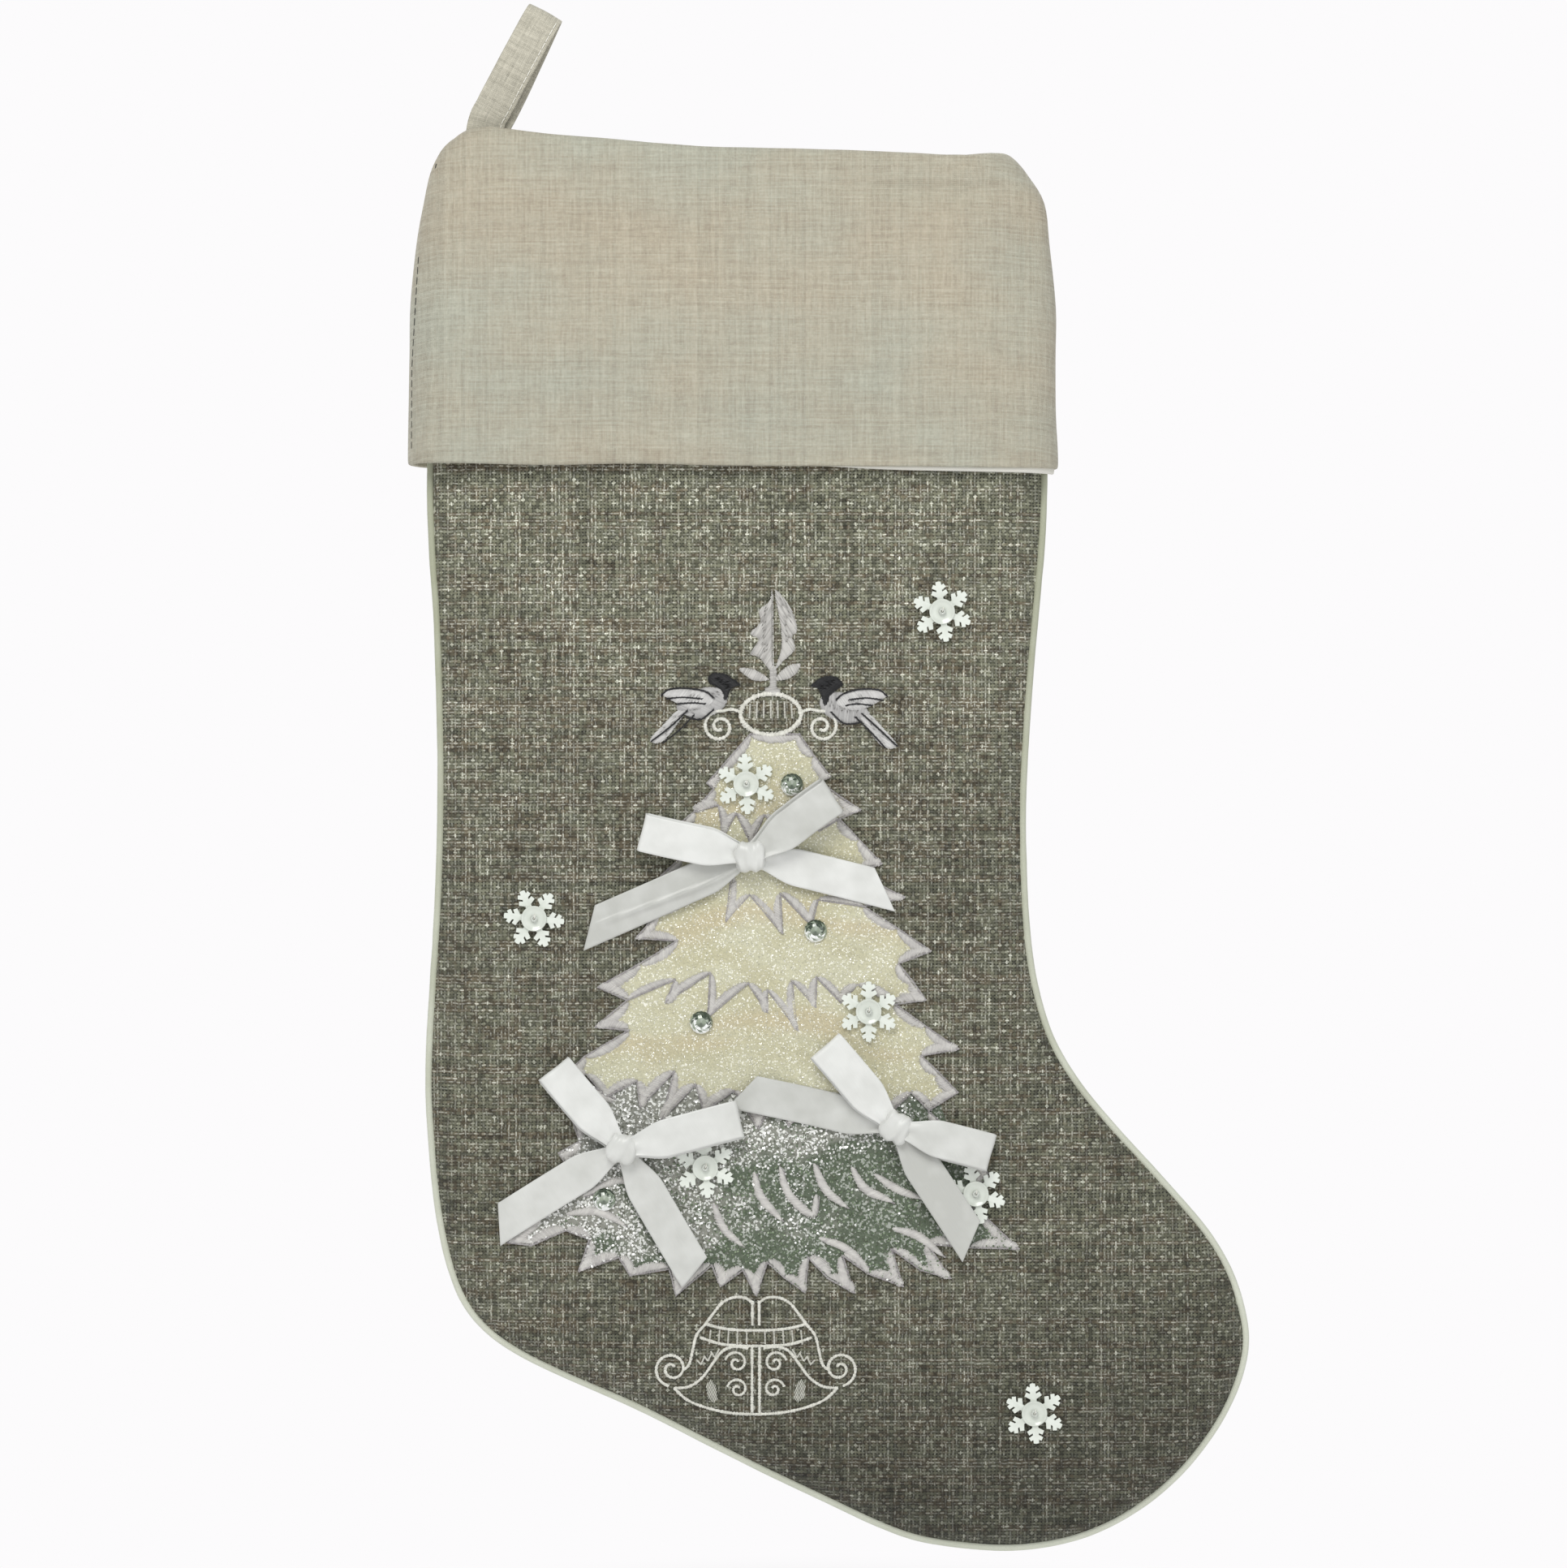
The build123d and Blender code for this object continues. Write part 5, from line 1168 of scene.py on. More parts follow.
def glitter_flakes(name, poly, count, size, mat, where=None, h=0.6, tilt=0.55, seed=1, other=None):
    """Loose hexagonal flakes stuck to the cloth at all tilts."""
    rng = np.random.default_rng(seed)
    poly = np.array(poly, float)
    lo, hi = poly.min(0), poly.max(0)
    p = rng.uniform(lo, hi, (count * 3, 2))
    p = p[inside(poly, p[:, 0], p[:, 1])]
    if where is not None:
        p = p[where(p[:, 0], p[:, 1]) > rng.uniform(0, 1, len(p))]
    p = p[:count]
    n = len(p)
    r = rng.uniform(*size, n)
    base = on_front(p[:, 0], p[:, 1], h + ripple(p[:, 0], p[:, 1]) + rng.uniform(0, 0.18, n))
    nx, nz = rng.normal(0, tilt, n), rng.normal(0, tilt, n)
    nn = np.stack([nx, -np.ones(n), nz], 1)
    nn /= np.linalg.norm(nn, axis=1, keepdims=True)
    a = np.cross(nn, rng.normal(0, 1, (n, 3)))
    a /= np.linalg.norm(a, axis=1, keepdims=True)
    b = np.cross(nn, a)
    ang = np.radians([0, 60, 120, 180, 240, 300])
    v = base[:, None] + r[:, None, None] * (np.cos(ang)[None, :, None] * a[:, None] + np.sin(ang)[None, :, None] * b[:, None])
    faces = np.arange(n * 6).reshape(n, 6)
    ob = build(name, v.reshape(-1, 3), [faces], mat, False, {"tint": ("POINT", "FLOAT", np.repeat(rng.uniform(0, 1, n), 6))})
    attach(ob, "stocking")
    return ob


def green_share(x, z):
    g = value_noise(x, z, 22, 91) * 0.5 + value_noise(x, z, 9, 92) * 0.3 + (x - 60) * 0.009 - (z + 378) * 0.012
    return smoothstep(-0.15, 0.5, g)


def outline_area(poly):
    q = np.array(poly, float)
    return float(abs(np.dot(q[:, 0], np.roll(q[:, 1], -1)) - np.dot(q[:, 1], np.roll(q[:, 0], -1))) / 2) * 1e-6


for ob, poly in ((cream, CREAM), (glit, GLITTER), (under_tier, UNDER), (bko, backing_poly)):
    q = np.array(poly, float)
    ext = q.max(0) - q.min(0)
    outline_area(poly)
    print("sheet", ob.name, ext, outline_area(poly))

fl1 = glitter_flakes("glitter_silver", GLITTER, 4200, (0.24, 0.52), MAT["silver_glitter"], lambda x, z: 0.95 - 0.93 * green_share(x, z), 0.62, 0.55, 3)
fl4 = glitter_flakes("glitter_silver_top", UNDER, 900, (0.24, 0.5), MAT["silver_glitter"], None, 0.3, 0.5, 6)
fl2 = glitter_flakes("glitter_green", GLITTER, 2600, (0.2, 0.4), MAT["green_glitter"], green_share, 0.62, 0.5, 4)
fl3 = glitter_flakes("glitter_clear", CREAM, 5200, (0.12, 0.24), MAT["clear_glitter"], None, 0.68, 0.5, 5)

# ------------------------------------------------------------------ tree embroidery
bag = Bag()


def leafy(k):
    """Widest part way along each jag, narrow in the notches."""
    def f(s, p):
        return 0.55 + 0.75 * np.abs(np.sin(math.pi * s * k)) ** 0.7
    return f


def jagged(bag, poly, width, closed, h0, inset=0.6, seed=7):
    """Each straight run of the edge is one leaf of satin stitch, thick in the middle and pointed at the tip."""
    rng = np.random.default_rng(seed)
    pts = np.array(poly, float)
    n = len(pts)
    for i in range(n if closed else n - 1):
        a, b = pts[i], pts[(i + 1) % n]
        d = b - a
        ln = np.linalg.norm(d)
        if ln < 1.2:
            continue
        nrm = np.array([-d[1], d[0]]) / ln
        bow = rng.uniform(-0.05, 0.05) * ln
        mid = (a + b) / 2 + nrm * bow
        line = catmull([a - d * 0.02, mid, b + d * 0.02], 6)
        line = line + nrm * inset
        satin_path(bag, line, width, h0, 0.4, 0.33, rng.uniform(0.5, 1.1) * (1 if rng.uniform() > 0.5 else -1), 0.2, rng,
                   profile=lambda s, p: 0.4 + 0.8 * np.sin(math.pi * np.clip(s, 0, 1)) ** 0.7, jag=0.18)


def band(bag, poly, width, closed, h0, inward, seed, skip=None):
    """Pale satin lying inside a jagged edge, with a thin darker thread along the edge itself."""
    rng = np.random.default_rng(seed)
    pts = np.array(poly, float)
    n = len(pts)
    for i in range(n if closed else n - 1):
        a, b = pts[i], pts[(i + 1) % n]
        d = b - a
        ln = np.linalg.norm(d)
        if ln < 1.2 or (skip and skip((a + b) / 2)):
            continue
        nrm = np.array([-d[1], d[0]]) / ln * inward
        w = min(width, 0.42 * ln + 0.9) * rng.uniform(0.85, 1.1)
        u_ = np.linspace(0.02, 0.98, 14)
        line = a + d * u_[:, None] + nrm * w * 0.5 * (0.1 + 0.9 * np.sin(math.pi * u_) ** 0.5)[:, None]
        satin_path(bag, line, w, h0, 0.34, 0.37, rng.uniform(0.4, 0.7) * (1 if i % 2 else -1), 0.19, rng,
                   profile=lambda s, p: 0.06 + 1.0 * np.sin(math.pi * np.clip(s, 0, 1)) ** 0.5, jag=0.2, tone=0.8)
        satin_path(bag, [a, (a + b) / 2, b], 0.8, h0 + 0.12, 0.25, 0.4, 0.9, 0.17, rng, jag=0.3, tone=0.12)


def teeth(bag, poly, h0, seed):
    """The points of an upper tier hanging over the next: silver satin leaves with thin dark outlines."""
    rng = np.random.default_rng(seed)
    pts = np.array(poly, float)
    for i in range(1, len(pts) - 1):
        a, m, b = pts[i - 1], pts[i], pts[i + 1]
        if m[1] < a[1] and m[1] < b[1]:
            up = (a + b) / 2
            a2, b2 = m + (a - m) * 0.96, m + (b - m) * 0.96
            top_ = up + (up - m) * 0.12
            d = up - m
            fill(bag, [a2, m, b2, top_], math.degrees(math.atan2(d[1], d[0])) + 28, h0, 0.3, 0.34, 0.2, rng, tone=0.8)
    satin_path(bag, resample(pts, 0.5), 0.7, h0 + 0.28, 0.25, 0.42, 0.9, 0.17, rng, jag=0.25, tone=0.12)


area2 = lambda q: sum(q[i][0] * q[(i + 1) % len(q)][1] - q[(i + 1) % len(q)][0] * q[i][1] for i in range(len(q)))
near_cream = lambda m: 24 < m[0] < 128 and float(edge_distance(np.array(CREAM), np.array([m[0]]), np.array([m[1]]))[0]) < 9.0 and m[1] > -372
band(bag, CREAM, 3.1, True, 0.5, 1.0 if area2(CREAM) > 0 else -1.0, 7, skip=lambda m: m[1] > -231)
band(bag, GLITTER, 3.4, True, 0.45, 1.0 if area2(GLITTER) > 0 else -1.0, 8, skip=near_cream)
for k, (pts, w) in enumerate(TIER_EDGES):
    band(bag, pts, 2.7, False, 0.62, 1.0 if pts[-1][0] > pts[0][0] else -1.0, 9 + k)
for pts, w in SPRIGS:
    line = catmull(pts, 6)
    satin_path(bag, line, w * 2.0, 0.62, 0.45, 0.33, 0.8, 0.2, profile=lambda s, p: 0.25 + 0.95 * np.sin(math.pi * s) ** 0.6, tone=0.85)
    satin_path(bag, line + np.array([0.9, -0.5]), 0.7, 0.62, 0.3, 0.4, 0.8, 0.17, tone=0.1)
ed = bag.make("tree_satin_edges", MAT["lilac"])
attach(ed, "stocking"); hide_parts("tree_edge_embroidery")

bag = Bag()
for k, poly in enumerate(LEAVES):
    poly = catmull(poly, 3, True)
    if k < 2:
        fill(bag, poly, 58 if k == 0 else 122, 0.15, 0.45, 0.34)
    elif k < 4:
        fill(bag, poly, 60 if k == 2 else 120, 0.2, 0.35)
    else:
        fill(bag, poly, 10, 0.2, 0.35)
run_path(bag, [(73.8, -187.0), (73.9, -200.0), (74.0, -214.0)], 0.75, 0.16, 2.4, 0.2)
lf = bag.make("leaf_finial_satin", MAT["leaf"])
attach(lf, "stocking"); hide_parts("leaf_finial_embroidery")

def scroll(cx, cz, r0, turns, start, hand=1, tail=None):
    """A spiral winding in to its centre, with an optional lead-in."""
    a = np.linspace(0, turns * 2 * math.pi, int(turns * 22))
    r = r0 * (1 - 0.82 * a / a[-1])
    pts = [(cx + q * math.cos(start + hand * w), cz + q * math.sin(start + hand * w)) for q, w in zip(r, a)]
    return (list(tail) if tail else []) + pts


bag = Bag()
cx, cz, rx, rz = URN_RING
ringp = np.array([(cx + rx * math.cos(a), cz + rz * math.sin(a)) for a in np.linspace(0, 2 * math.pi, 60)])
satin_path(bag, ringp, 1.5, 0.3, 0.35, 0.36, 0.2, jag=0.3)
for k in range(-3, 4):
    zz = 4.4 * math.sqrt(1 - (k * 2.2 / rx) ** 2)
    satin_path(bag, [(cx + k * 2.2, cz + zz), (cx + k * 2.2 * 1.04, cz - 1.2)], 0.6, 0.18, 0.25, 0.36, 0.2, 0.16, tone=0.1)
satin_path(bag, catmull([(cx - rx * 0.9, cz - 2.6), (cx - rx * 0.55, cz - 5.6), (cx, cz - 6.7), (cx + rx * 0.55, cz - 5.6), (cx + rx * 0.9, cz - 2.6)], 5), 1.2, 0.7, 0.35, 0.36, 0.2, jag=0.3)
for hand, s_ in ((1, -1), (-1, 1)):
    lead = [(cx + s_ * 9.5, cz + 0.6), (cx + s_ * 12.5, cz + 1.6), (cx + s_ * 15.5, cz + 1.0)]
    satin_path(bag, catmull(scroll(cx + s_ * 16.4, cz - 4.0, 5.2, 1.55, math.radians(78 if s_ > 0 else 102), hand, lead), 3), 1.05, 0.2, 0.32, 0.36, 0.2, jag=0.25)
ur = bag.make("urn_satin", MAT["white"])
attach(ur, "stocking"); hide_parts("urn_embroidery")
bag = Bag()
sx0 = STAND_X
for s_ in (-1, 1):
    fz = lambda b: -412.8 + (b + 413.4) * 0.915
    mir = lambda q: [(sx0 + s_ * a, fz(b)) for a, b in q]
    lines = [
        [(0.8, -415.4), (3.5, -413.4), (7.5, -413.4), (11.0, -415.4), (13.6, -418.9), (16.4, -423.0)],
        [(16.4, -423.0), (19.0, -426.5), (20.2, -431.5), (21.4, -436.8), (23.4, -438.8)],
        [(16.2, -422.6), (11.0, -424.1), (5.0, -424.8), (0.0, -424.9)],
        [(17.8, -427.4), (11.5, -429.6), (5.0, -430.3), (0.0, -430.4)],
        [(2.6, -431.2), (6.5, -430.6), (10.5, -432.0), (13.8, -436.4), (17.2, -441.4), (21.4, -444.6), (26.2, -445.2)],
        [(26.2, -445.2), (22.0, -449.4), (15.5, -452.2), (8.0, -453.9), (0.0, -454.4)],
        [(1.1, -414.6), (1.1, -423.0)],
        [(1.2, -431.0), (1.2, -453.6)],
    ]
    for q in lines:
        satin_path(bag, catmull(mir(q), 5), 0.95, 0.2, 0.3, 0.35, 0.2, 0.19, jag=0.25)
    start = math.radians(-78) if s_ > 0 else math.radians(258)
    sc = scroll(sx0 + s_ * 26.9, -435.6, 5.7, 1.6, start, s_)
    satin_path(bag, catmull(sc, 3), 0.95, 0.2, 0.3, 0.35, 0.2, 0.19, jag=0.25)
    st0 = math.radians(15) if s_ > 0 else math.radians(165)
    satin_path(bag, catmull(scroll(sx0 + s_ * 6.2, fz(-436.2), 3.7, 1.35, st0, s_), 3), 0.85, 0.2, 0.3, 0.35, 0.2, 0.18, jag=0.25)
    satin_path(bag, catmull(scroll(sx0 + s_ * 5.8, fz(-445.4), 3.4, 1.35, st0, s_), 3), 0.85, 0.2, 0.3, 0.35, 0.2, 0.18, jag=0.25)
    for k in range(1, 6):
        x1 = k * 2.9
        satin_path(bag, mir([(x1, -425.0 + 0.02 * k), (x1 * 1.03, -429.6)]), 0.55, 0.18, 0.2, 0.36, 0.2, 0.15, tone=0.2)
    for k in range(3):
        satin_path(bag, mir([(11.8 + k * 2.4, -431.6 - k * 1.4), (13.2 + k * 2.2, -434.4 - k * 1.2), (14.4 + k * 2.2, -432.4 - k * 1.5)]), 0.6, 0.18, 0.2, 0.36, 0.2, 0.15, tone=0.2)
    # A small grey leaf between the scrolls.
    fill(bag, mir([(12.2, -449.0), (12.8, -444.2), (14.6, -441.8), (16.0, -444.4), (15.4, -448.6), (13.6, -450.4)]), 70, 0.15, 0.2, 0.5, 0.16, tone=0.0)
st = bag.make("stand_satin", MAT["white"])
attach(st, "stocking"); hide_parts("stand_embroidery")

for name, polys, wing, lines, ang in (("bird_left", BIRD_L, WINGS[0], WING_LINES[0], 35), ("bird_right", BIRD_R, WINGS[1], WING_LINES[1], 145)):
    bag = Bag()
    fill(bag, catmull(polys[0], 3, True), ang - 60, 0.15, 0.4, tone=0.3)
    fill(bag, catmull(polys[1], 3, True), ang, 0.15, 0.35, tone=0.8)
    fill(bag, catmull(wing, 3, True), ang + 20 if name == "bird_left" else ang - 20, 0.5, 0.4, tone=0.85)
    b = bag.make(name + "_satin", MAT["bird"])
    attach(b, "stocking"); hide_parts(name)
bag = Bag()
HEADS = [
    [(53.0, -213.6), (54.6, -212.4), (57.6, -212.3), (60.4, -213.6), (63.4, -215.9), (61.4, -216.6), (59.9, -218.2), (59.2, -220.4), (58.0, -220.8), (57.3, -218.4), (55.4, -216.6), (53.4, -215.6)],
    [(96.4, -216.0), (94.6, -213.9), (91.4, -213.2), (88.4, -214.2), (85.7, -216.5), (87.9, -217.2), (89.2, -219.2), (89.8, -222.4), (91.0, -222.6), (92.2, -219.8), (94.4, -217.6)]]
for k, poly in enumerate(HEADS):
    fill(bag, catmull(poly, 3, True), 15 if k == 0 else 165, 0.45, 0.4)
for lines in WING_LINES:
    for pts in lines:
        satin_path(bag, catmull(pts, 5), 0.72, 0.95, 0.18, 0.34, 0.9, 0.17, jag=0.3)
bb = bag.make("bird_black_satin", MAT["black"])
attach(bb, "stocking"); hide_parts("bird_black_thread")


# ------------------------------------------------------------------ sequins
def flake_outline():
    arm = [(1.05, 3.7), (0.98, 4.6), (2.75, 5.7), (2.15, 6.95), (0.98, 6.4), (0.95, 6.95), (2.3, 7.75), (1.7, 8.9), (0.92, 8.5), (0.85, 9.6), (0.0, 9.75)]
    pts = []
    for k in range(6):
        a = math.radians(60 * k)
        for x, y in arm + [(-x, y) for x, y in reversed(arm[:-1])]:
            pts.append((x * math.cos(a) - y * math.sin(a), x * math.sin(a) + y * math.cos(a)))
    return pts


def sequin(name, x, z, turn, y0, seed):
    rng = np.random.default_rng(seed)
    bm = bmesh.new()
    pts = flake_outline()
    c, s = math.cos(math.radians(turn)), math.sin(math.radians(turn))
    tilt = rng.uniform(-0.02, 0.02, 2)
    ring = [bm.verts.new((a * c - b * s, 0.0, a * s + b * c)) for a, b in pts]
    f = bm.faces.new(ring)
    got = bmesh.ops.extrude_face_region(bm, geom=[f])
    for v in got["geom"]:
        if isinstance(v, bmesh.types.BMVert):
            v.co.y -= 0.32
    bmesh.ops.recalc_face_normals(bm, faces=bm.faces)
    rim = [e for e in bm.edges if abs(e.verts[0].co.y - e.verts[1].co.y) < 1e-6]
    bmesh.ops.bevel(bm, geom=rim, offset=0.09, segments=2, affect="EDGES")
    # Dished centre with a rolled rim.
    prof = [(0.58, -0.02), (1.5, 0.0), (2.6, -0.12), (3.3, -0.34), (3.7, -0.62), (3.95, -0.66), (4.1, -0.5), (4.05, -0.2), (3.9, -0.05)]
    n = 40
    base = []
    for r, y in prof:
        base.append([bm.verts.new((r * math.cos(2 * math.pi * k / n), y - 0.34, r * math.sin(2 * math.pi * k / n))) for k in range(n)])
    for a, b in zip(base[:-1], base[1:]):
        for k in range(n):
            bm.faces.new((a[k], a[(k + 1) % n], b[(k + 1) % n], b[k]))
    for v in bm.verts:
        v.co = Vector((v.co.x + x, v.co.y + y0 + v.co.x * tilt[0] + v.co.z * tilt[1], v.co.z + z)) * MM
    me = bpy.data.meshes.new(name)
    bm.to_mesh(me)
    bm.free()
    at = me.attributes.new("tint", "FLOAT", "POINT")
    co = np.zeros(len(me.vertices) * 3)
    me.vertices.foreach_get("co", co)
    co = co.reshape(-1, 3) / MM
    rr = np.hypot(co[:, 0] - x, co[:, 2] - z)
    # The tint is painted shade: darkest along the rolled rim and round the bead at the centre, a little darker past the
    # rim.
    at.data.foreach_set("value", (np.clip(0.45 - 0.12 * np.abs(rr - 3.4), 0, 1) + 0.08 * (rr > 4.2) + 0.25 * np.exp(-((rr - 0.8) / 0.8) ** 2)).astype(np.float32))
    me.materials.append(MAT["pearl"])
    for p in me.polygons:
        p.use_smooth = True
    ob = bpy.data.objects.new(name, me)
    bpy.context.scene.collection.objects.link(ob)
    mod = ob.modifiers.new("edges", "EDGE_SPLIT")
    mod.split_angle = math.radians(40)
    return ob


beads, stems = Bag(), Bag()
for i, (x, z, turn, ground) in enumerate(FLAKES):
    on_tree = ground > 10.3
    ang_ = np.linspace(0, 2 * math.pi, 24, endpoint=False)
    px_ = np.concatenate([x + r_ * np.cos(ang_) for r_ in (0.1, 4, 7, 9.5)])
    pz_ = np.concatenate([z + r_ * np.sin(ang_) for r_ in (0.1, 4, 7, 9.5)])
    h = float(np.percentile(front_height(px_, pz_), 94)) + (1.5 if on_tree else 0.55)
    y0 = -h
    ob = sequin(f"snowflake_{i + 1}_sequin", x, z, turn, y0, 40 + i)
    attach(ob, f"snowflake_{i + 1}"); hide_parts(f"snowflake_{i + 1}")
    # Seed bead: a fat ring round its thread.
    n, m = 20, 10
    a = np.linspace(0, 2 * math.pi, n, endpoint=False)
    b = np.linspace(0, 2 * math.pi, m, endpoint=False)
    aa, bb_ = np.meshgrid(a, b, indexing="ij")
    R, r = 0.72, 0.5
    bx = (R + r * np.cos(bb_)) * np.cos(aa)
    bz = (R + r * np.cos(bb_)) * np.sin(aa)
    by = np.sin(bb_) * 0.62
    yb = y0 - 0.36 - 0.62
    beads.add(np.stack([bx + x, by + yb, bz + z], -1).reshape(-1, 3), quads=grid_faces(n, m, True, True), value=0.5)
    pth = np.array([[x, -(h - 1.6), z], [x, y0, z], [x, yb - 0.4, z], [x + 0.05, yb - 0.72, z + 0.1], [x + 0.3, yb - 0.6, z + 0.75], [x + 0.3, yb, z + 1.3]])
    tv, tq = tube(catmull(pth, 4), 0.16, 8, up=(1, 0.2, 0.1))
    stems.add(tv, quads=tq, value=0.8)
bd = beads.make("snowflake_seed_beads", MAT["bead"])
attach(bd, "stocking"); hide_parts("snowflake_beads")
sm = stems.make("snowflake_thread_ties", MAT["pale"])
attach(sm, "stocking"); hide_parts("snowflake_threads")

# ------------------------------------------------------------------ rhinestones
bag = Bag()
for gi, (x, z) in enumerate(GEMS):
    rng = np.random.default_rng(50 + gi)
    h = float(front_height(np.array([x]), np.array([z]))[0]) + 0.55
    n = 16
    ringsr = [(3.3, -0.3, 0), (3.65, 0.5, 0), (3.65, 0.8, 0), (3.2, 1.35, 0.5), (2.45, 1.95, 0), (1.6, 2.35, 0.5), (1.55, 2.37, 0.5)]
    pts = []
    for r, hh, ph in ringsr:
        pts.append([(x + r * math.cos(2 * math.pi * (k + ph) / n), -(h + hh), z + r * math.sin(2 * math.pi * (k + ph) / n)) for k in range(n)])
    for a, b in zip(range(len(pts) - 1), range(1, len(pts))):
        for k in range(n):
            k1 = (k + 1) % n
            ang = 2 * math.pi * (k + 0.5) / n
            # Painted reflection: facets facing up take dark green, facets facing down white, with random spread.
            upish = math.sin(ang + 0.35)
            for tri in (((a, k), (a, k1), (b, k)), ((b, k), (a, k1), (b, k1))):
                val = 0.5 - 0.45 * upish + rng.uniform(-0.2, 0.2)
                if a >= 3:
                    val = 0.45 - 0.3 * upish + rng.uniform(-0.4, 0.4)
                if a <= 1:
                    val = 0.35 + rng.uniform(-0.2, 0.3)
                bag.add([pts[i][j] for i, j in tri], tris=[(0, 2, 1)], value=min(1, max(0, val)))
    tbl = [(x + 1.55 * math.cos(2 * math.pi * (k + 0.5) / n), -(h + 2.38), z + 1.55 * math.sin(2 * math.pi * (k + 0.5) / n)) for k in range(n)]
    for k in range(n):
        # Painted reflection on the table facets too.
        bag.add([tbl[k], (x, -(h + 2.4), z), tbl[(k + 1) % n]], tris=[(0, 1, 2)], value=0.42 + 0.2 * math.sin(2 * math.pi * k / n + 0.5))
gm = bag.make("rhinestones_faceted", MAT["stone"], False)
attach(gm, "stocking"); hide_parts("rhinestones")


# ------------------------------------------------------------------ bows
def strip(bag, centre, side, half, thick=0.34, cross=17, crease=None, tint=0.5, shear0=0.0, shear1=0.0):
    """A ribbon: centre (n, 3), side unit vectors across it (n, 3), half widths; a closed thin solid."""
    c, sd = np.asarray(centre, float), np.asarray(side, float)
    n = len(c)
    t = tangents(c)
    nrm = np.cross(t, sd)
    nrm /= np.maximum(np.linalg.norm(nrm, axis=1, keepdims=True), 1e-9)
    w = np.linspace(-1, 1, cross)
    half = np.broadcast_to(np.asarray(half, float), (n,))
    s = np.linspace(0, 1, n)
    mid = c[:, None] + sd[:, None] * (half[:, None] * w[None])[..., None]
    # A slanted end: the edge is drawn out along the ribbon.
    if shear0 or shear1:
        k = smoothstep(0.75, 1.0, s) * shear1
        mid = mid + t[:, None] * (k[:, None] * w[None])[..., None]
    lift = crease(s[:, None], w[None]) if crease else 0.0
    sel = 1.0 + 0.5 * np.exp(-((1 - np.abs(w)) / 0.06) ** 2)
    outer = mid + nrm[:, None] * (lift + thick / 2 * sel[None])[..., None]
    inner = mid + nrm[:, None] * (lift - thick / 2 * sel[None])[..., None]
    v = np.concatenate([outer.reshape(-1, 3), inner.reshape(-1, 3)])
    q1 = grid_faces(n, cross)
    q2 = grid_faces(n, cross)[:, ::-1] + n * cross
    off = n * cross
    rim = []
    for i in range(n - 1):
        for j, flip in ((0, False), (cross - 1, True)):
            a, b = i * cross + j, (i + 1) * cross + j
            f = (a, b, b + off, a + off)
            rim.append(f[::-1] if flip else f)
    for i, flip in ((0, True), (n - 1, False)):
        for j in range(cross - 1):
            a, b = i * cross + j, i * cross + j + 1
            f = (a, b, b + off, a + off)
            rim.append(f[::-1] if flip else f)
    bag.add(v, quads=np.concatenate([q1, q2, np.array(rim)]), value=tint)
    return float((np.linalg.norm(np.diff(c, axis=0), axis=1)).sum())


def polar(c, ang, u, v=0.0):
    ca, sa = math.cos(math.radians(ang)), math.sin(math.radians(ang))
    return c[0] + u * ca - v * sa, c[1] + u * sa + v * ca


